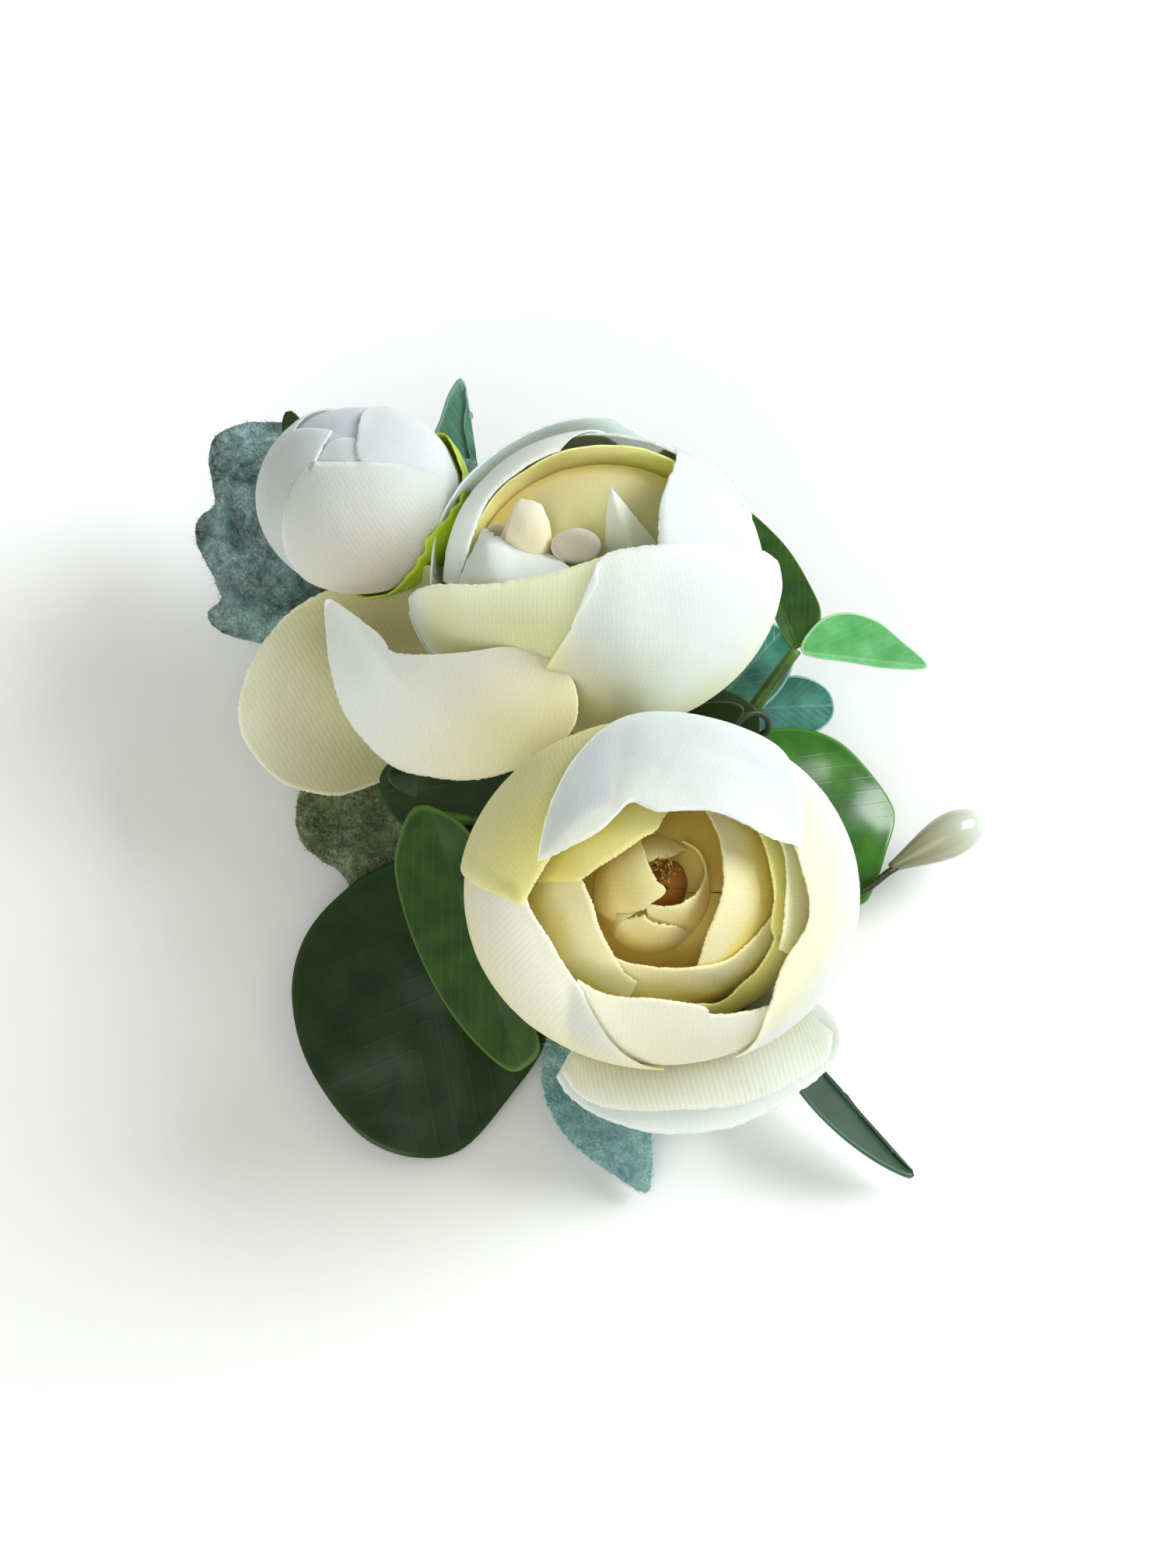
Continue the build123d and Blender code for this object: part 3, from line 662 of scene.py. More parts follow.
ball_petal("rose_petal_12", fourth, fourth.round(64, 30, 0, -32, -56),
    [(4.4, 8.2), (5.8, 5.4), (6.2, 2.7), (6.1, 0.2), (5.6, -1.6), (4.9, -3.4), (4.2, -5.4), (3.4, -7.8)],
    INNER_CREAM, ["rose_inner_petal_3"], lift=(0.1, 0.1), seed=12, fray=0.04)

# the bed of folded petals under the furled heart
bed = Ball(rose.centre, (12.6, 11.2, 8.2), FOOT_DOWN)
ball_petal("rose_bed", bed, bed.round(0, 90, 180, 270, 359), CLOSED_TOP, DEEP_SKIN, [],
    seed=13, fray=0, size=(120, 30), wave=0.35)
heart = Ball(rose.centre + (-1.0, 0.0, 3.4), (5.6, 6.1, 10.4), FOOT_DOWN)
inner_heart = Ball(rose.centre + (0.2, 0.2, 3.4), (4.2, 4.8, 9.4), FOOT_DOWN)
ball_petal("rose_heart_top", heart, heart.round(130, 100, 60, 20),
    [(-1.2, 4.6), (-0.5, 3.2), (0.5, 3.4), (2.2, 3.6), (4, 4.4)], HEART_SKIN,
    ["rose_heart_petal_2"], lift=(0, 0.1), seed=15, fray=0.05, size=(60, 40))
ball_petal("rose_heart_left", heart, heart.round(120, 160, 200, 240),
    [(-1, 4.9), (-0.5, 3.4), (-0.1, 2.2), (0.5, 1), (1.2, 0), (-0.7, -1.4), (-2, -1.9), (-3.1, -2)],
    HEART_SKIN, ["rose_heart_petal_1"], lift=(0.7, 0.2), curl=0.1, seed=16, fray=0.05,
    size=(80, 40))
ball_petal("rose_heart_bottom", heart, heart.round(200, 240, 280, 330),
    [(-4.8, -1.7), (-3.3, -2.7), (-2, -2.5), (-0.9, -2.1), (0.2, -2.8), (2.2, -3.1), (4, -3.5), (5.2, -2)],
    HEART_SKIN, [], lift=(0.3, 0.4), seed=17, fray=0.10, size=(80, 40), wave=0.1)
ball_petal("rose_heart_hook", inner_heart, inner_heart.round(70, 30, -10, -50, -100),
    [(1.4, 3.6), (2.5, 3), (3, 1.6), (2.6, 0.2), (1.4, -0.8), (0, -1.1), (-1, -0.9)], HEART_SKIN,
    [], lift=(1, 0.9), curl=0.5, seed=18, fray=0.06, size=(80, 40))
CORE_SKIN = cloth("rose_core_cloth", "704008", "86500e", "a0681e", ribs=0.2, glow=0.2)
core = Ball(rose.centre + (0.4, 0.4, 2.6), (3.6, 4.0, 7.0), FOOT_DOWN)
ball_petal("rose_heart_core", core, core.round(0, 90, 180, 270, 359), CLOSED_TOP, CORE_SKIN,
    [], seed=19, fray=0, size=(60, 30))


def flared(name, node, rim, depths, material, seed, lift):
    """A collar petal that leaves the rose's foot and flares out past its ball."""
    rim = np.array(rim, float) - rose.centre[:2]
    turns = np.arctan2(rim[:, 1] / rose.half[1], rim[:, 0] / rose.half[0])
    rows = []
    for reach, z in ((0.30, -17.4), (0.80, -12.6 + lift), (1.03, -7.4 + lift)):
        a, b = reach * rose.half[0], reach * rose.half[1]
        rows.append([(a * math.cos(turn), b * math.sin(turn), z) for turn in turns])
    rim_depths = np.interp(np.linspace(0, 1, len(rim)), np.linspace(0, 1, len(depths)), depths)
    rows.append([(x, y, z) for (x, y), z in zip(rim, rim_depths)])
    rows = [[np.array(p) + rose.centre for p in row] for row in rows]
    return net_petal(name, rows, material, [node], seed=seed)


flared("rose_collar_pale", "rose_collar_petal_1",
    [(-3.2, -29), (-2, -30.8), (1.3, -33), (6.1, -34.5), (11, -34.5), (15, -33.7), (19, -31.8),
     (22.6, -29.2), (24.7, -27.2), (25.2, -25.2), (24.6, -23)], (-6.6, -7.4, -6), COLLAR_PALE, 61, -0.8)
flared("rose_collar_ribbed", "rose_collar_petal_2",
    [(-2.6, -28.6), (-1, -30.8), (2, -32), (7, -32.3), (13, -32), (17, -31.2), (21, -29.2), (23.6, -27.2),
     (24.2, -24.6)], (-4.8, -5.2, -4.4), COLLAR_SKIN, 62, 0.6)

# ---------------------------------------------------------------- the peony
peony = Ball((0.6, 21.0, -0.6), (18.2, 15.3, 16.4), (0.15, -0.62, -0.77))
PH_SKIN = cloth("peony_front_left_cloth", "f0ee7a", "eaf092", "f0f6bc", ribs=0.9,
    patches=(((0.0, 0.85), (0.42, 1.1), "f0faf4"), ((0.04, 0.8), (0.30, 0.8), "f0faf6")))
PI_SKIN = cloth("peony_front_right_cloth", "faec76", "fcf6b0", "f2fbf6", ribs=0.7, band=(0.30, 0.48, 0.80))
PA_SKIN = cloth("peony_back_left_cloth", "e2f096", "e8f8cc", "e8fbf6", ribs=0.4)
PB_SKIN = cloth("peony_back_inner_cloth", "f6ec96", "eef8e2", "ecfafa", ribs=0.4, band=(0.20, 0.42, 0.80))
PC_SKIN = cloth("peony_back_right_cloth", "e2e4c8", "ecf6f4", COOL, ribs=0.4)
PD_SKIN = cloth("peony_back_wall_cloth", "ffe092", "fff2a0", "fcfa96", ribs=0.3,
    patches=(((0.90, 0.75), (0.40, 0.9), "ecf860"), ((0.45, 0.35), (0.3, 0.5), "ffdea0")))
PG_SKIN = cloth("peony_facet_cloth", "e4f0e0", "eefaf6", "f4fefe", ribs=0.3)
PEACH_SKIN = cloth("peony_peach_cloth", "feecc4", "fff6d6", "fffce8", ribs=0.3)

ball_petal("peony_front_left", peony, [(-16.9, -8.6), (-14, -11.4), (-7, -14), (3, -15.2, 1)],
    [(-17.9, -5.2), (-18, -3), (-16.9, -1.6), (-14.6, -1.2), (-11.5, -1.3), (-8.1, -0.9), (-2.6, 0.4),
     (1.6, 1.8)], PH_SKIN, ["peony_outer_petal_2"], lift=(0.5, 0.1), seed=212, share=0.4)
ball_petal("peony_front_right", peony,
    [(-4.9, -9.4), (-2.6, -15.1, 1), (5.5, -14.2, -3.5), (13.1, -10.2, -3), (17.6, -3, -1)],
    [(0.4, -1.2), (0.9, 1.5), (6, 2.5), (12.3, 2.4), (16, 2), (17.4, 1)], PI_SKIN,
    ["peony_outer_petal_3"], lift=(0.9, 0.5), curl=0.3, seed=213, share=0.4)
back = Ball(peony.centre + (1.0, -0.4, 0.0), (16.7, 15.4, 15.4), peony.foot)
ball_petal("peony_back_left", back, [(-15.6, -3, -5), (-13.4, 5, -8), (-5.6, 10.5, -9), (5, 9, -11)],
    back.round(185, 168, 156, 144, 132, 120, 106, 92) + back.behind((2.4, 14.4), (5.4, 12.6)), PA_SKIN,
    ["peony_outer_petal_1"], lift=(0.4, 0.2), seed=214, share=0.45, curl=0.2)
ball_petal("peony_back_right", peony, [(2, 8, -12), (8, 6, -12), (13, 2, -10), (16, -3, -6)],
    peony.behind((3, 12.6), (8, 10.2), (12.4, 6.6), (15, 2.6), (16.6, -1)), PC_SKIN,
    ["peony_outer_petal_4"], lift=(0.3, 0.3), seed=215, share=0.5)
middle = Ball(peony.centre + (0.6, -0.2, 0.0), peony.half * 0.90, peony.foot)
ball_petal("peony_back_middle", middle, [(-8, 8, -10), (-2, 10, -10), (4, 10, -9), (9, 7, -9), (12, 2, -9)],
    [(-5, 13, 0), (-1, 13.8, 0.6), (2.6, 13.2, 1.6), (5.4, 11.6, 2.6), (8.4, 9.4, 4.4), (11.4, 6.4, 5)],
    PB_SKIN, [], seed=227, share=0.5)
inside = Ball(back.centre, back.half * 0.955, peony.foot)
ball_petal("peony_back_inner", inside, [(-14.6, 0, -6), (-10, 6, -9), (-2, 8, -10), (4, 7, -10)],
    [(-14.2, -1), (-13.2, 3.1), (-11.2, 7.6), (-8.9, 9.9), (-6.8, 11.3), (-4.4, 12.3)], PB_SKIN,
    ["peony_outer_petal_5"], lift=(0, -0.2), curl=0.35, seed=216, share=0.5)
wall = Ball(peony.centre + (1.2, -0.6, 4.4), (13.8, 13.0, 9.6), peony.foot)
ball_petal("peony_inner_wall", wall, [(-12.6, 0, -4), (-7, 5, -6.4), (0, 6, -7), (8, 4, -6.4), (13, 1, -4)],
    [(-12.2, 1.2, 1), (-10.4, 7.2, 0.4), (-6.2, 11.2, 0), (0, 13.2, 0), (6, 12.2, 0), (11, 9, 0)], PD_SKIN,
    ["peony_inner_petal_1"], seed=217, share=0.5)
ball_petal("peony_inner_bed", Ball(peony.centre + (1, -1.8, 1), (13.2, 12.2, 5), FOOT_DOWN),
    [(13.2, 0, 0), (0, 12.2, 0), (-13.2, 0, 0), (0, -12.2, 0), (13.2, -0.1, 0)], CLOSED_TOP, PD_SKIN,
    [], seed=224, fray=0, size=(120, 30), wave=0.3)
right_wall = Ball(peony.centre, peony.half * (0.915, 0.905, 0.97), peony.foot)
ball_petal("peony_right_wall", right_wall,
    [(9, -9, -5), (14, -5, -8), (13, 3, -10), (8, 8, -9), (4, 9, -9)],
    [(6.6, -4), (6.3, 0), (6.25, 3.4), (6.5, 6.6), (7.2, 8.8), (7.9, 10.2)], PC_SKIN,
    ["peony_inner_petal_2"], seed=218, share=0.35)
net_petal("peony_pointed",
    [[(1.6, 20, 2), (4, 19.6, 4.4), (7, 19.8, 3)], [(1.7, 22.9, 5), (4.4, 22.8, 7.4), (6.9, 23.4, 5.6)],
     [(1.8, 26, 6.8), (3.2, 26.2, 8.2), (5, 26, 7)], [(2.15, 29.2, 7.6), (2.25, 29.4, 7.8),
      (2.4, 29.2, 7.6)]], PG_SKIN, ["peony_inner_petal_3"], size=(50, 40), seed=219,
    wave=0.08, fray=0.05)
net_petal("peony_facets",
    [[(-13, 18.4, 9), (-9, 17.4, 11.5), (-4, 17.6, 13), (0.6, 19.4, 12)], [(-12.6, 20.6, 8),
      (-9.6, 20.4, 11), (-5.6, 20.2, 11.4), (-1, 20.8, 10.4)], [(-11.4, 23.4, 6.6), (-9.8, 23.2, 9.6),
      (-6.6, 22.4, 9.2), (-2.4, 21.9, 8.4)], [(-10.4, 25.4, 5.2), (-8.6, 24.3, 7.4), (-5.4, 23.3, 7.2),
      (-2.8, 22.3, 7)]], PG_SKIN, [], size=(70, 40), seed=220, wave=0.18, fray=0.12)
net_petal("peony_curl",
    [[(-8.8, 22.6, 4), (-7.4, 22.2, 7.4), (-4.6, 22.4, 7.4), (-3.5, 23, 4.4)], [(-8.7, 24.4, 5.2),
      (-7, 24.6, 8.8), (-4.4, 24.6, 8.6), (-3.6, 24.8, 5.6)], [(-7.9, 26.2, 6), (-6.6, 26.8, 8.8),
      (-4.6, 26.8, 8.4), (-3.9, 26.2, 5.8)], [(-7.3, 27.4, 5.4), (-6.6, 27.9, 7.2), (-5.2, 27.9, 7),
      (-4.4, 27, 5.2)], [(-7, 27.6, 4.4), (-6.4, 28.1, 5.4), (-5.3, 28, 5.2), (-4.6, 27.2, 4.2)]],
    PEACH_SKIN, ["peony_heart"], size=(60, 44), seed=221, wave=0.1, fray=0.08,
    creases=[((0.22, 0.02), (0.36, 0.92), 0.45, 0.07), ((0.30, 0.66), (0.80, 0.70), 0.25, 0.06)])


ROLL_THICK = 0.1


def button(name, centre, half, depth, seed):
    """A small closed roll of cloth seen from its end: a domed cushion with a rounded edge."""
    centre = np.array(centre, float)
    turns = np.linspace(0, 2 * math.pi, 40, endpoint=False)
    rows = []
    dome = ((0.01, 0.12), (0.25, 0.14), (0.55, 0.16), (0.85, 0.12), (0.97, -0.1), (1.02, -0.5))
    for reach, z in (*dome, (1.0, -depth * 0.5), (0.9, -depth)):
        a, b = reach * half[0], reach * half[1]
        rows.append([centre + (a * math.cos(turn), b * math.sin(turn), z) for turn in turns])
    grid = np.array([even(np.vstack((r, r[:1])), 41)[:-1] for r in np.array(rows)])
    grid = grid + 0.08 * rough(grid, 0.5, seed)[..., None]
    flip = flip_for(grid, centre - (0, 0, depth / 2))
    return shell(name, grid, ROLL_THICK, PEACH_SKIN, flip=flip, closed=True)


button("peony_roll", (-1.2, 23.5, 8.4), (2.45, 1.75), 6.0, 222)
button("peony_roll_left", (-9.0, 24.2, 4.4), (1.3, 1.6), 4.0, 223)

# ---------------------------------------------------------------- the bud
bud = Ball((-22.6, 28.4, -6.8), (10.0, 9.2, 9.4), (0.70, -0.40, -0.60))
B1_SKIN = cloth("bud_front_cloth", "eeea8e", "f7f5d4", "f3f9ee", ribs=1.0, band=(0.15, 0.40, 0.85),
    patches=(((0.5, 0.5), (0.4, 0.45), "fcf2d6"),))
B2_SKIN = cloth("bud_side_cloth", "e2e6c8", "ecf4f2", COOL, ribs=0.3)
B3_SKIN = cloth("bud_shade_cloth", "ced8d0", "d4ded8", "dee6e2", ribs=0.3)
B4_SKIN = cloth("bud_back_cloth", "deeaec", "e4f2f6", "e8f8fc", ribs=0.3)
FOAM = solid("bud_foam_skin", "ced2be", "dee2ce", 900, 0.85, through=0.2)
ball_petal("bud_back", bud, [(-8.2, 4.6, 0), (-6.2, 7.2, 0), (-2, 9, 0), (2, 9, 0)],
    [(-6, 3), (-4.6, 4.2), (-2.2, 4.6), (1, 4.4)], B4_SKIN, ["bud_petal_4"], lift=(-0.3, -0.3),
    seed=321)
ball_petal("bud_left_inner", bud, [(-4.6, -2), (-3, -2.2), (-1, -2.2), (1, -2)],
    [(-4.4, 3.4), (-3.5, 5), (-2, 5.9), (0.8, 5.7)], B2_SKIN, [], lift=(-0.05, 0), seed=325)
ball_petal("bud_left", bud, [(-5.4, -7.7, 0), (-9, -4, 0), (-10, 1, 0), (-8.4, 4.9, 0), (-6.4, 6.4)],
    [(-4.6, -4), (-4.8, 0), (-4.4, 2.8), (-3.7, 4.6), (-2.6, 6.4)], B3_SKIN, ["bud_petal_3"],
    lift=(0.2, 0.3), seed=322)
ball_petal("bud_core_cone", Ball(bud.centre, bud.half * 0.86, bud.foot),
    [(7.6, 0, 0), (0, 7, 0), (-7.6, 0, 0), (0, -7, 0), (7.6, -0.1, 0)],
    [(-2.2, 2.2), (-2.4, 2.4), (-2.6, 2.2), (-2.4, 2), (-2.2, 2.2)], FOAM, ["bud_core"],
    seed=326, fray=0)
ball_petal("bud_side", bud, [(9.6, -2.4, -2), (9.6, 2, -1), (6.6, 6.4, -1), (2.6, 8.8, -0.5)],
    [(6, -1), (2, 2.4), (-0.2, 3.6), (-0.2, 5.9), (0.2, 8)], B2_SKIN, ["bud_petal_2"],
    lift=(0.2, 0.1), seed=323)
ball_petal("bud_front", bud, [(-3.6, -8.3, 0), (2, -9, -1), (7, -6.3, -0.5), (9.6, -2, 0)],
    [(-6.9, -5.6), (-6.9, 0), (-6.1, 2.2), (-5.5, 3.5), (-4.9, 2.6), (-4.5, 3.4), (-3.5, 3.3), (0.2, 3.3),
     (4.4, 3), (8.6, 1.6)], B1_SKIN, ["bud_petal_1"], lift=(0.45, 0.4), seed=324)


def calyx(name, ball, reaches, material, nodes, lift, seed, edge_lift=0.12, thickness=0.3, count=120):
    """The green cup under a flower: reaches are how far its edge climbs the ball, in degrees
    from the foot, at even turns."""
    foot = unit(ball.foot / ball.half)
    side = unit(np.cross(foot, (0.2, 0.3, 0.93)))
    other = np.cross(foot, side)
    turns = np.linspace(0, 2 * math.pi, count, endpoint=False)
    edge = list(enumerate((*reaches, reaches[0])))
    edge = even(catmull(edge, 8), count + 1)[:-1, 1]
    random = np.random.default_rng(seed)
    edge = np.radians(edge + random.normal(0, 1.2, count))
    share = np.linspace(0.02, 1, 24)[:, None]
    angle = share * edge
    away = np.cos(turns)[:, None] * side + np.sin(turns)[:, None] * other
    aim = np.cos(angle)[..., None] * foot + np.sin(angle)[..., None] * away
    off = lift * smooth(1.1 - share, 0, 0.4) + edge_lift
    grid = ball.centre + aim * ball.half + unit(aim / ball.half) * off[..., None]
    flip = flip_for(grid, ball.centre)
    return shell(name, grid, thickness, material, nodes, flip, True)


CALYX_LIME = leaf_skin("calyx_lime_skin", "809e00", "aac414", "b4c83c", 0.5, vein=0.0, coat=0.1)
CALYX_GREEN = leaf_skin("calyx_green_skin", "305410", "547c22", "78963c", 0.5, vein=0.0, coat=0.1)
calyx("bud_calyx_cup", bud, (64, 50, 58, 48, 56, 50, 66, 58, 76, 64, 80, 60), CALYX_LIME, ["bud_calyx"],
    lift=0.3, edge_lift=0.80, thickness=0.12, seed=71)
calyx("peony_calyx_cup", peony, (38, 22, 40, 24, 36, 22, 40, 24, 38, 24), CALYX_GREEN, ["peony_calyx"],
    lift=0.6, seed=72)
calyx("rose_calyx_cup", rose, (36, 22, 40, 24, 36, 22, 40, 24, 38, 24), CALYX_GREEN, ["rose_calyx"],
    lift=0.3, seed=73)

# ---------------------------------------------------------------- the two loose petals
# its patch is painted shade: darker inside the hollow under the turned lip, next to the folded petal
LOOSE_A = cloth("loose_petal_hollow_cloth", "ccc686", "d8d298", "eceac0", ribs=1.3, band=(0.2, 0.6, 1.0),
    patches=(((0.30, 0.20), (0.30, 0.6), "a69e6c"),))
LOOSE_B = cloth("loose_petal_folded_cloth", "faf2be", "fbf9e2", "f2fafb", ribs=0.5, band=(0.1, 0.4, 0.85))


def hollow_depth(x, y):
    """A shallow bowl with a lip turned up, and a trough under it, along its top edge."""
    q = ((x + 25.0) / 9.8) ** 2 + ((y - 10.2) / 11.6) ** 2
    below_top = 21.6 + 0.22 * (x + 16.0) - y
    lip = smooth(below_top, 2.6, 0.6)
    trough = smooth(below_top, 6.5, 3.0) * (1 - lip)
    return -12.6 + 5.0 * q**1.3 - 0.12 * (x + 25.0) + 1.1 * lip - 0.9 * trough


def folded_depth(x, y):
    """A leaning dome cut off level, with a fold along its left side."""
    lean = 11.4 + 0.42 * (y - 13.0) + 0.34 * (x + 8.0)
    q = ((x + 11.0) / 14.0) ** 2 + ((y - 8.0) / 9.0) ** 2
    off_fold = 0.82 * (x + 20.1) + 0.57 * (y - 12.7)
    fold = 0.45 * np.exp(-((off_fold / 1.1) ** 2)) - 0.5 * smooth(-off_fold, 0.0, 3.0)
    surface = lean + 3.0 - 5.4 * q
    crown = 13.2
    level = crown - 0.5 * np.log1p(np.exp(np.clip((crown - surface) * 2.0, -30, 30)))
    return level + fold * smooth(y, 2.0, 8.0)


disc("loose_petal_hollow",
    [(-15, 20.6), (-16.4, 21.6), (-20, 21.5), (-23.6, 20.6), (-25.5, 19.2), (-27.5, 18.2), (-30.2, 16.2),
     (-32.6, 13.1), (-34.2, 9.2), (-34.3, 5.6), (-32.6, 2.5), (-29.8, 0.1), (-25.5, -1), (-22.4, -0.4),
     (-18.5, 1.5), (-14.5, 6), (-13.5, 14)], hollow_depth, 0.2, LOOSE_A,
    ["peony_loose_petal_1"], axis=((-15, 10), (-34.3, 10), 11), ribs_along=-60, fray=0.04, seed=31,
    wave=0.2, count=380)
disc("loose_petal_folded",
    [(-25.9, 18.2), (-23.4, 16.9), (-20.6, 14.7), (-19.3, 13.1), (-16.1, 12.8), (-11.8, 13.1), (-7.9, 13.6),
     (-4.3, 13.1), (-2, 11.1), (-1, 8.4), (-1.6, 5.3), (-4.7, 2.5), (-8.7, 0.9), (-12.2, 0.35),
     (-16.1, 0.75), (-19.3, 1.7), (-22.4, 4.5), (-24.4, 7.6), (-25.5, 11.5), (-25.9, 14.7)], folded_depth,
    0.2, LOOSE_B, ["peony_loose_petal_2"], axis=((-6, 4), (-22, 16), 12), ribs_along=75,
    fray=0.04, seed=32, wave=0.15, count=380, hub=(-20, 9), rings=60)

# ---------------------------------------------------------------- leaves
PLUSH_TEAL = plush("plush_teal_cloth", "325e5c", "a0ceca")
PLUSH_OLIVE = plush("plush_olive_cloth", "3e5018", "849854")
PLUSH_BLUE = plush("plush_blue_cloth", "68b2ae", "beece8")
DARK_LEAF = leaf_skin("dark_leaf_skin", "0e2600", "1a3600", "1e3a04", 0.42, coat=0.1, vein=0.15)
GREEN_LEAF = leaf_skin("green_leaf_skin", "163602", "2a5008", "4a6c20", 0.42, coat=0.1, vein=0.3)
RIGHT_LEAF = leaf_skin("right_leaf_skin", "1a4e04", "387412", "468228", 0.2, coat=0.6, vein=0.08)
BRIGHT_LEAF = leaf_skin("bright_leaf_skin", "4a9e54", "74c47e", "aadcaa", 0.35)
SPRIG_LEAF = leaf_skin("sprig_leaf_skin", "123802", "2c5808", "507828", 0.4, coat=0.1)
BLUE_LEAF = leaf_skin("eucalyptus_skin", "286854", "5a9e92", "96c8c4", 0.22)
BLADE_TOP = leaf_skin("blade_top_skin", "34604c", "568672", "82a896", 0.4)
BLADE_RIGHT = leaf_skin("blade_right_skin", "10321e", "1c442a", "30583e", 0.35, vein=0.2)


def leaf(name, outline, corners, material, nodes, base, tip, half_width, fold=0.0, bowl=0.0,
         droop=0.0, thickness=0.35, wave=0.08, seed=1, fray=0.0, lumps=0.0, rough_scale=0.2, pillow=0.0,
         nap=0):
    """A leaf through three layout points, folded or bowled about its midrib, which runs from
    base to tip. nap is the number of flock fibres on it."""
    level = plane_through(*corners)

    def depth(x, y):
        off, along = from_axis(x, y, base, tip)
        across = np.clip(np.abs(off) / half_width, 0, 1.4)
        z = level(x, y) + fold * across * half_width + bowl * across**2 * half_width - droop * along**2
        if lumps:
            z = z + lumps * np.cos(across * math.pi / 2) * (0.7 + 0.3 * np.cos(along * 17))
        return z

    heading = math.degrees(math.atan2(tip[1] - base[1], tip[0] - base[0]))
    piece = disc(name, outline, depth, thickness, material, nodes, (base, tip, half_width),
                 heading, seed=seed, wave=wave, fray=fray, rough_scale=rough_scale, pillow=pillow)
    if nap:
        fibres(name + "_nap", piece, nap, material, seed)
    return piece


FIBRE_LENGTH, FIBRE_HALF_WIDTH = (0.3, 0.8), 0.035


def fibres(name, piece, count, material, seed):
    """Short flock fibres standing on a piece's faces, each a slim closed spike."""
    random = np.random.default_rng(seed)
    mesh = piece.data
    centres, normals, areas = (np.empty(len(mesh.polygons) * wide) for wide in (3, 3, 1))
    for key, values in (("center", centres), ("normal", normals), ("area", areas)):
        mesh.polygons.foreach_get(key, values)
    centres, normals = centres.reshape(-1, 3) / MM, normals.reshape(-1, 3)
    pick = random.choice(len(areas), count, p=areas / areas.sum())
    spread = np.sqrt(areas[pick])[:, None] / MM
    lean = random.normal(0, 0.45, (count, 3))
    out = unit(normals[pick] + lean)
    side = unit(np.cross(out, random.normal(0, 1, (count, 3)))) * FIBRE_HALF_WIDTH
    beside = np.cross(normals[pick], random.uniform(-0.6, 0.6, (count, 3))) * spread
    start = centres[pick] + beside - 0.05 * out
    tip = start + out * random.uniform(*FIBRE_LENGTH, (count, 1))
    third = np.cross(out, side) * 1.6
    verts = np.stack((start - side, start + side, start + third, tip), 1).reshape(-1, 3)
    spike = ((0, 2, 1), (0, 1, 3), (1, 2, 3), (2, 0, 3))
    faces = [tuple(4 * i + k for k in face) for i in range(count) for face in spike]
    weave = np.repeat(random.uniform(-20, 20, (count, 2)), 4, axis=0)
    return make_mesh(name, verts * MM, faces, {"weave": weave, "st": weave}, material, TOP)


leaf("lambs_ear_left_leaf",
    [(-29.5, 35.7), (-31.4, 35.8), (-34.2, 35.7), (-36.5, 34.7), (-37.5, 32.7), (-37.1, 29.2),
     (-36.9, 27.6), (-38.3, 26.5), (-38.9, 24.9), (-38.3, 22.9), (-36.9, 20.2), (-36.3, 18.2), (-37.7, 17),
     (-36.9, 15.5), (-35, 14.5), (-32.2, 13.9), (-27, 12.6), (-18, 9), (-11, 5), (-8, 8), (-9, 16),
     (-10.6, 26), (-10.8, 31.5), (-13.5, 32.2), (-20, 33), (-25, 35)],
    [(-10, 4, -13.4), (-38, 28, -17.8), (-33, 13, -16.6)], PLUSH_TEAL, ["lambs_ear_left"],
    (-10, 5), (-38, 28), 13, thickness=1.3, wave=1.2, seed=41, fray=0.05, lumps=0.7, rough_scale=0.24,
    pillow=1.5, nap=16000)
leaf("lambs_ear_lower_leaf",
    [(-24, 2.2), (-28, 0), (-28.9, -3), (-28.4, -5.6), (-26.6, -7.4), (-24.2, -9), (-22.8, -11.8),
     (-20.4, -12.9), (-17, -12), (-12, -8), (-8, -4), (-8, 1), (-15, 3.2)],
    [(-8, -1.4, -12.2), (-30, -3, -12.6), (-18, -12, -11)], PLUSH_OLIVE, ["lambs_ear_lower"],
    (-8, -1.4), (-29, -4), 9, thickness=1.3, wave=0.8, seed=42, fray=0.05, lumps=0.5, rough_scale=0.27,
    pillow=1.3, nap=12000)
leaf("lambs_ear_bottom_leaf",
    [(-2, -21), (-4.4, -27), (-4.3, -30.8), (-2.8, -34.1), (0, -36.9), (2.9, -38.9), (5.7, -40.4),
     (6.3, -38.5), (6.3, -34.9), (6, -28), (3.6, -20)], [(2.8, -14, -4.9), (6.7, -39, 0), (-4, -31, -1.2)],
    PLUSH_BLUE, ["lambs_ear_bottom"], (1.5, -16), (4, -40), 6, thickness=1.2, wave=0.4,
    seed=43, fray=0.05, lumps=0.3, rough_scale=0.25, pillow=1, nap=9000)
leaf("round_leaf_leaf",
    [(-20, -8), (-24.4, -10.8), (-27.9, -14.9), (-29.3, -20), (-28.4, -26), (-25.6, -31.2), (-21.7, -35.2),
     (-17.1, -36.9), (-12.4, -36.1), (-7.8, -31), (-4.2, -25.6), (-2.4, -18), (-4.6, -9), (-11, -5.4)],
    [(-6, -7, -8.5), (-22, -33, -3.1), (-28, -20, -5.6)], DARK_LEAF, ["round_leaf"],
    (-6.4, -7), (-22, -36), 12, bowl=-0.18, thickness=0.5, wave=0.25, seed=44)
leaf("folded_leaf_leaf",
    [(-16, -2.1), (-17.7, -2.8), (-18.9, -6), (-19.1, -8.7), (-18.2, -12.8), (-16.4, -17.6), (-14, -22),
     (-11.2, -25.6), (-8, -28.3), (-6.1, -27.9), (-4.8, -25.8), (-6.6, -21), (-8.6, -15), (-9.8, -9),
     (-11.2, -5.6), (-13.2, -3.4)], [(-16.9, -2.6, 0.1), (-8.5, -27.9, 4.2), (-19, -9, -0.5)], GREEN_LEAF,
    ["folded_leaf"], (-15.5, -2.6), (-6.6, -28), 4.5, fold=-0.2, wave=0.12, seed=45)
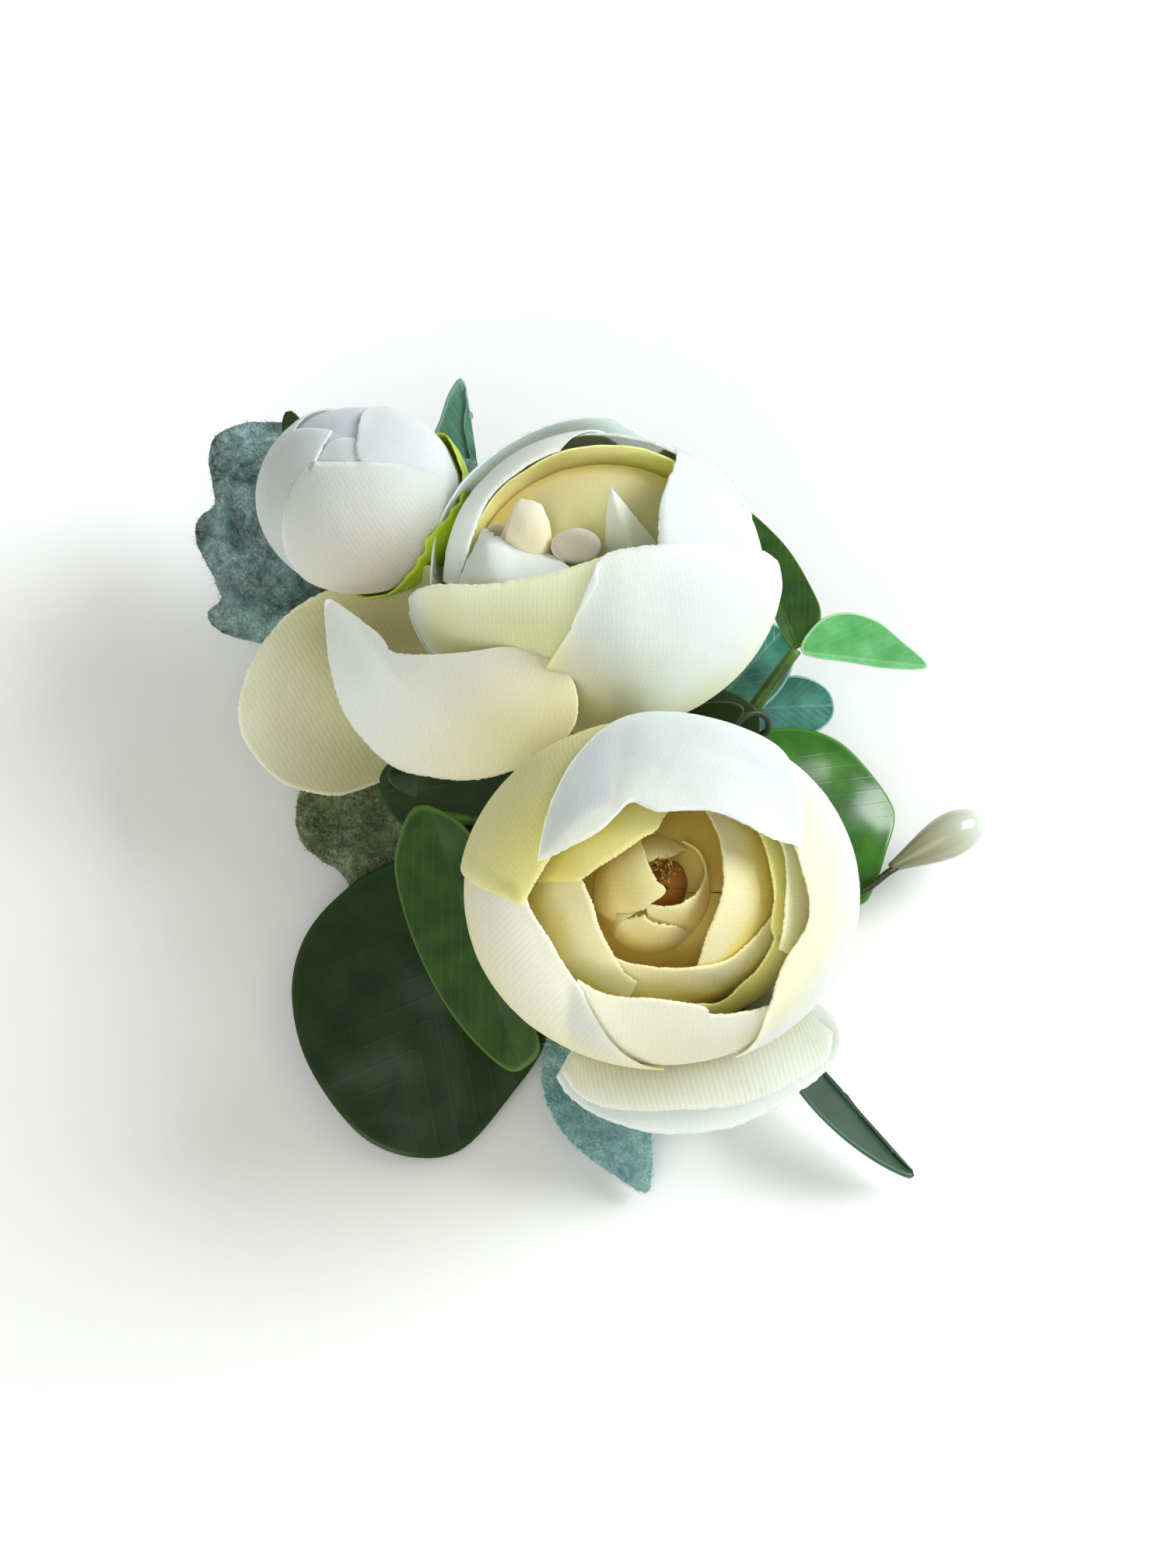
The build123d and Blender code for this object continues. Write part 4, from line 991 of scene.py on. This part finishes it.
leaf("right_leaf_leaf",
    [(8.5, 1.5), (13, 4.6), (18.4, 5.5), (21.8, 5.4), (25, 4.1), (27.8, 1.3), (30, -1.9), (30.3, -3.9),
     (29.5, -6.7), (28.6, -9.5), (27.1, -11.9), (24, -11), (17, -6), (11, -1.6)],
    [(8.5, 1.5, -12.4), (30.7, -11.8, -6.8), (24, 4.7, -10.4)], RIGHT_LEAF, ["right_leaf"],
    (8.5, 1.5), (29, -9.5), 7.5, bowl=-0.34, droop=4.5, thickness=0.5, wave=0.2, seed=46)
leaf("blade_top_leaf",
    [(-12.6, 40.2), (-13.8, 38.6), (-14.6, 36.2), (-15.4, 33.6), (-15, 28), (-11, 18), (-5, 8), (-2.4, 8.6),
     (-5, 18), (-9.8, 27), (-12.2, 34.4), (-12, 38.4)],
    [(-2.8, 7.5, -15.4), (-12.9, 40.2, -23), (-15.4, 33.6, -21.8)], BLADE_TOP,
    ["blade_leaf_top"], (-3.5, 8), (-12.8, 40.2), 4, fold=0.2, seed=47)
leaf("blade_right_leaf",
    [(9.6, -12), (15, -21), (20.4, -29.4), (24.2, -33.8), (28.6, -37.2), (32.3, -38.9), (30, -36.4),
     (27, -32.7), (23.6, -28.6), (19, -20.6), (12.6, -11.4)],
    [(10.1, -11.8, -6), (31.2, -37.8, -0.8), (24.4, -28.4, -3.4)], BLADE_RIGHT,
    ["blade_leaf_right"], (10.4, -12), (31.8, -39), 3.4, fold=0.25, seed=48)
leaf("dark_leaf_leaf",
    [(-8, 6), (-14, 15), (-21, 25.5), (-26, 32.5), (-29.4, 36.9), (-30.2, 34.6), (-28, 29), (-23, 20.5),
     (-15.5, 11), (-9.4, 5.6)], [(-8.4, 6.2, -12.8), (-30, 36, -18.4), (-24, 20, -16.6)], DARK_LEAF,
    ["dark_leaf"], (-8.6, 6), (-29.8, 36), 3.2, fold=0.2, seed=49)
leaf("filler_leaf_top_leaf", [(2.8, 1.4), (7, 5.2), (11.5, 7.9), (15.3, 7.4), (12.6, 4.2), (7.4, 1.4)],
    [(2.8, 1.4, -10.2), (15.1, 7.1, -2.7), (11.5, 7.9, -4.4)], DARK_LEAF, ["filler_leaf_1"],
    (2.8, 1.4), (15.1, 7.1), 3.2, fold=0.2, seed=50)
leaf("filler_leaf_left_leaf", [(-7.8, 1.7), (-11, 4.4), (-16, 4.2), (-19.8, 0.8), (-16, -1.8), (-11, -1.4)],
    [(-7.8, 1.7, -10.5), (-19.7, 0.8, -5.3), (-14, 4.2, -7.8)], DARK_LEAF, ["filler_leaf_2"],
    (-7.8, 1.7), (-19.7, 0.8), 3.2, fold=0.2, seed=51)
leaf("under_leaf_left",
    [(-3, 2), (-8, 5.4), (-15, 4.6), (-20.4, 1.2), (-19, -3.4), (-13, -6.6), (-6, -4.4)],
    [(-3, 2, -5.6), (-19, -0.4, -6.4), (-13, -5.6, -4.6)], DARK_LEAF, [], (-3, 1),
    (-20.4, -0.6), 5, bowl=0.1, wave=0.15, seed=56)
leaf("under_leaf_right", [(4, 2), (5.6, 6.4), (9.6, 9.4), (14, 9.2), (17, 6.6), (15.6, 3), (10, 0.2)],
    [(4, 2, -9.6), (16.6, 6.4, -8.6), (9.6, 9.4, -9.6)], DARK_LEAF, [], (4, 1.6), (17, 6.6),
    4.4, bowl=0.1, wave=0.15, seed=57)
leaf("sprig_leaf_dark",
    [(20.5, 13.4), (18.6, 16.3), (17, 21), (14.9, 27.4), (19, 24.2), (21.8, 20), (23, 16.4)],
    [(20.5, 14.5, -10.9), (15.7, 28, -14.1), (23, 17, -11.6)], SPRIG_LEAF, ["sprig_leaf_1"],
    (20.8, 13.4), (15.1, 27.4), 3, fold=0.2, thickness=0.3, seed=52)
leaf("sprig_leaf_bright",
    [(21.2, 13), (22.6, 15.8), (25.2, 16.9), (28.4, 16.2), (31, 14.2), (33.6, 11.6), (30, 11.4), (26, 12)],
    [(21.2, 12.9, -10.2), (33.3, 11.8, -12.3), (28, 16.2, -11)], BRIGHT_LEAF,
    ["sprig_leaf_2"], (21.2, 13), (33.6, 11.6), 3.2, fold=0.2, thickness=0.3, seed=53)
leaf("eucalyptus_leaf_tall",
    [(10.8, 7), (12.4, 11.6), (15, 15.2), (18.2, 16), (20.4, 13.4), (19, 9.4), (14.6, 6)],
    [(10.8, 7, -14.5), (19, 15.5, -17), (19, 9.4, -15.8)], BLUE_LEAF, ["eucalyptus"],
    (11.4, 6.6), (19.4, 15.4), 4, bowl=0.3, thickness=0.3, wave=0.1, seed=54)
leaf("eucalyptus_leaf_low",
    [(14.9, 8), (17.6, 10), (21, 10.6), (23.8, 9.2), (24.2, 6.6), (21.6, 4.8), (17.6, 5)],
    [(14.9, 8, -15.9), (24.2, 8.6, -17.6), (21, 4.8, -16.8)], BLUE_LEAF, [], (15.2, 7.4),
    (24.2, 7.8), 3.2, bowl=0.3, thickness=0.3, wave=0.1, seed=55)

# ---------------------------------------------------------------- stems, wires and the pearl bud
STEM = solid("stem_skin", "26460c", "48701c", 500, 0.45)
WIRE_GREEN = solid("floral_wire_skin", "14200c", "263616", 2500, 0.5)
wire("sprig_stem_wire",
    [(6.9, 3.1, -13.1), (11, 4.2, -12.4), (14.8, 5.6, -11), (17.6, 9.2, -10.8), (20.6, 13.3, -10.4)],
    (0.8, 0.8, 0.75, 0.65, 0.6), STEM, ["sprig_stem"])
wire("eucalyptus_stem", [(5.2, 4.8, -14.1), (9, 6.2, -14.6), (11.7, 7.3, -15.1), (16.2, 8.8, -16.2)], 0.4,
    STEM, [])
wire("folded_leaf_stem", [(-6.7, -4.4, -9.4), (-10.7, -3.8, -5.4), (-16, -3, -0.2)], 0.6, STEM,
    [])
wire("bud_stem", [(-16.9, 25.5, -12.9), (-12, 17, -14.6), (-9.1, 10.4, -15.2), (-6.1, 5.1, -14.3)], 0.8,
    STEM, [])
wire("florist_wire",
    [(8.9, -1, -11.2), (12.6, 3, -6.4), (14.4, 5.6, -4.4), (16.2, 7, -4.6), (17.6, 6.6, -5.6),
     (17.8, 5.4, -6.6), (17, 4.8, -7.6)], 0.32, WIRE_GREEN, ["floral_wire"])
wire("pearl_wire_line", [(8.7, -1.7, -11.1), (14.8, -1.2, -11.4), (24.7, -10.7, -9.8), (30.6, -8.2, -11)],
    0.35, WIRE_GREEN, ["pearl_wire"])

pearl = Skin("pearl_skin")
# painted shade: the pearl darkens from its lit tip to its foot, which faces away from the key light
pearl_colour_and_painted_shade = pearl.ramp(pearl.part(pearl.uv("st"), 1), (0.0, "606844"), (0.40, "969474"), (0.95, "c4ccbc"))
pearl_bump = pearl.bump(pearl.noise(pearl.spot(), 700.0, dimensions="3D"), 0.2, 0.0001)
PEARL = pearl.finish(pearl_colour_and_painted_shade, pearl_bump, Roughness=0.22, Coat_Weight=0.4)
PEARL_RINGS, PEARL_SIDES = 26, 20
foot, tip = np.array((29.9, -8.3, -11.0)), np.array((38.9, -3.4, -13.2))
share = np.linspace(0, 1, PEARL_RINGS)
profile = 0.45 + 1.75 * np.sin(math.pi * share**1.75) ** 0.62
profile[-1] = 0.05
verts, faces = tube(foot + share[:, None] * (tip - foot), profile, PEARL_SIDES)
pearl_places = {"st": round_places(PEARL_RINGS, PEARL_SIDES)}
make_mesh("pearl_bud_drop", place(verts), faces, pearl_places, PEARL, TOP, ["pearl_bud"])

# fine stamen threads in the rose's heart
STAMEN = solid("stamen_skin", "967828", "d6c46e", 3000, 0.6)
random = np.random.default_rng(8)
STAMENS, STAMEN_RADIUS = 26, 0.05
threads, thread_faces = [], []
for _ in range(STAMENS):
    start = rose.centre + (0.2 + random.normal(0, 0.5), 2.2 + random.normal(0, 0.5), 9.6)
    end = start + (random.normal(-0.1, 0.5), random.normal(0.0, 0.4), 3.0 + random.uniform(0, 0.8))
    line = even(catmull([start, (start + end) / 2 + random.normal(0, 0.15, 3), end], 8), 8)
    verts, faces = tube(line, STAMEN_RADIUS, 5)
    so_far = sum(len(thread) for thread in threads)
    thread_faces += [tuple(k + so_far for k in face) for face in faces]
    threads.append(verts)
verts = np.vstack(threads)
make_mesh("rose_stamen_threads", place(verts), thread_faces, {"st": verts[:, :2] * 0.1}, STAMEN, TOP,
          ["rose_stamens"])

# ---------------------------------------------------------------- felt, glue, spring and clip
FELT_X, FELT_HALF, FELT_LOW, FELT_HIGH = 4.6, (18.2, 12.5), 6.62, 8.1
GLUE_HALF, GLUE_TOP = (17.0, 11.1), 12.5


def oval_pad(name, half, low, high, edge, bumps, material, nodes, seed, dome=False, fuzz=0.0):
    """A flat-bottomed oval pad or dome on the clip, in row millimetres."""
    count, rings = 160, 26
    random = np.random.default_rng(seed)
    turns = np.linspace(0, 2 * math.pi, count, endpoint=False)
    rows = []
    for r in np.concatenate((np.linspace(0.01, 0.97, rings), (0.99, 1.0))):
        rows.append([(FELT_X + r * half[0] * math.cos(a), half[1] * r * math.sin(a), r) for a in turns])
    top = np.array(rows)
    share = top[..., 2].copy()
    ridge = rough(top, 0.35, seed)
    rise = (1 - share**2) ** 0.5 if dome else np.minimum(1, (1 - share**2) * 14) ** 0.5
    body_height = (high - low - edge) * rise + edge
    top[..., 2] = low + body_height * (1 + bumps * ridge * (1 - share**4))
    push = random.normal(0, fuzz, count)
    top[-1, :, 0] += np.cos(turns) * push
    top[-1, :, 1] += np.sin(turns) * push
    bottom = top[::-1].copy()
    bottom[..., 2] = low
    grid = np.concatenate((top, bottom), 0)
    verts = grid.reshape(-1, 3) * MM
    index = np.arange(len(verts)).reshape(grid.shape[:2])
    faces = [tuple(int(v) for v in (index[i, j], index[i + 1, j], index[i + 1, k], index[i, k]))
             for i, j, k in cells(len(grid), count)]
    weave = grid[..., :2].reshape(-1, 2)
    return make_mesh(name, verts, faces, {"weave": weave, "st": weave / 40}, material, TOP, nodes)


FELT = plush("felt_cloth", "cecabe", "e8e6dc", 1.4)
GLUE = solid("hot_glue_skin", "ceccba", "e6e4d6", 260, 0.22, coat=0.5, through=0.5)
felt = oval_pad("felt_pad_cloth", FELT_HALF, FELT_LOW, FELT_HIGH, 1.0, 0.03, FELT, ["felt_pad"], 81,
    fuzz=0.12)
oval_pad("hot_glue_dome", GLUE_HALF, FELT_HIGH + 0.02, GLUE_TOP, 0.25, 0.10, GLUE,
    ["glue_mound"], 82, dome=True)

CLIP = solid("clip_steel_skin", "b0b2b6", "ced0d4", 900, 0.26, metallic=1.0, stretch=(1, 12, 1),
    bump_depth=0.00001)
SPRING = solid("spring_steel_skin", "96969a", "bebec2", 2500, 0.3, metallic=1.0, bump_depth=0.00001)
for node in ("lower_jaw", "upper_jaw", "hinge_pin"):
    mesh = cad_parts[node].data
    mesh.materials.clear()
    mesh.materials.append(CLIP)

COIL_RADIUS, COIL_TURNS, COIL_PITCH, PIVOT = 1.7, 5.5, 0.72, (-12.0, 3.6)
turns = np.linspace(0, COIL_TURNS * 2 * math.pi, 220)
coil_y = -COIL_PITCH * COIL_TURNS / 2 + COIL_PITCH * turns / (2 * math.pi)
coil = np.stack((PIVOT[0] + COIL_RADIUS * np.sin(turns), coil_y, PIVOT[1] + COIL_RADIUS * np.cos(turns)), 1)
top_leg = even(
    catmull([(-22.0, -2.2, 8.42), (-18.8, -2.2, 6.9), (-16.6, -2.2, 5.7), (-14.9, -2.18, 5.32),
      (-13.4, -2.08, 5.3)], 10), 40)
low_leg = even(
    catmull([(-13.4, 2.08, 1.9), (-15.0, 2.18, 1.9), (-18.0, 2.18, 1.68), (-23.0, 2.18, 1.3)], 10), 40)
line = np.vstack((top_leg, coil, low_leg))
SPRING_RADIUS, SPRING_SIDES = 0.28, 10
verts, faces = tube(line, SPRING_RADIUS, SPRING_SIDES)
spring_places = {"st": round_places(len(line), SPRING_SIDES)}
spring = make_mesh("torsion_spring_wire", verts * MM, faces, spring_places, SPRING, None,
                   ["torsion_spring"])
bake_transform(spring)

# ---------------------------------------------------------------- the stage
SENSOR = 24.0  # the picture's height on the camera's sensor, in millimetres
FLOOR_HALF = 3.0
camera_data = bpy.data.cameras.new("camera")
camera_data.sensor_fit = "VERTICAL"
camera_data.sensor_height = SENSOR
camera_data.lens = SENSOR * VIEW_DISTANCE / VIEW_HEIGHT
camera_data.clip_end = 5.0
camera = bpy.data.objects.new("camera", camera_data)
bpy.context.scene.collection.objects.link(camera)
camera.location = Vector((TARGET + BACK * VIEW_DISTANCE) * MM)
camera.rotation_euler = Vector(BACK).to_track_quat("Z", "Y").to_euler()
bpy.context.scene.camera = camera

paper = Skin("floor_paper")
paper_grain = paper.noise(paper.spot(), 300.0, 3.0, dimensions="3D")
FLOOR = paper.finish(paper.ramp(paper_grain, (0.3, (0.895, 0.895, 0.90)), (0.7, (0.905, 0.905, 0.905))),
                     Roughness=0.9)
floor_mesh = bpy.data.meshes.new("floor")
corners = [(x * FLOOR_HALF, y * FLOOR_HALF, 0) for x, y in ((-1, -1), (1, -1), (1, 1), (-1, 1))]
floor_mesh.from_pydata(corners, [], [(0, 1, 2, 3)])
floor_mesh.materials.append(FLOOR)
floor = bpy.data.objects.new("floor", floor_mesh)
bpy.context.scene.collection.objects.link(floor)


def soft_light(name, toward, distance, size, power, colour):
    """A square area light that looks at the clip from a layout direction."""
    data = bpy.data.lights.new(name, "AREA")
    data.size = size
    data.energy = power
    data.color = colour
    lamp = bpy.data.objects.new(name, data)
    away = unit(np.array(toward, float))
    direction = RIGHT * away[0] + UP * away[1] + BACK * away[2]
    lamp.location = Vector(TARGET * MM + direction * distance)
    lamp.rotation_euler = Vector(direction).to_track_quat("Z", "Y").to_euler()
    bpy.context.scene.collection.objects.link(lamp)


soft_light("key", (0.86, 0.50, 0.46), 1.2, 0.7, 17.0, (0.95, 0.985, 1.0))
soft_light("fill", (-0.5, -0.6, 0.8), 1.2, 0.8, 5.0, (0.985, 1.0, 0.90))
soft_light("front", (-0.1, -0.1, 1.0), 1.3, 0.8, 4.0, (1.0, 1.0, 0.95))
world = bpy.data.worlds.new("studio")
bpy.context.scene.world = world
world.use_nodes = True
background = world.node_tree.nodes["Background"]
background.inputs[0].default_value = (1.0, 1.0, 0.99, 1)
background.inputs[1].default_value = 0.33
bpy.context.scene.view_settings.view_transform = "Standard"
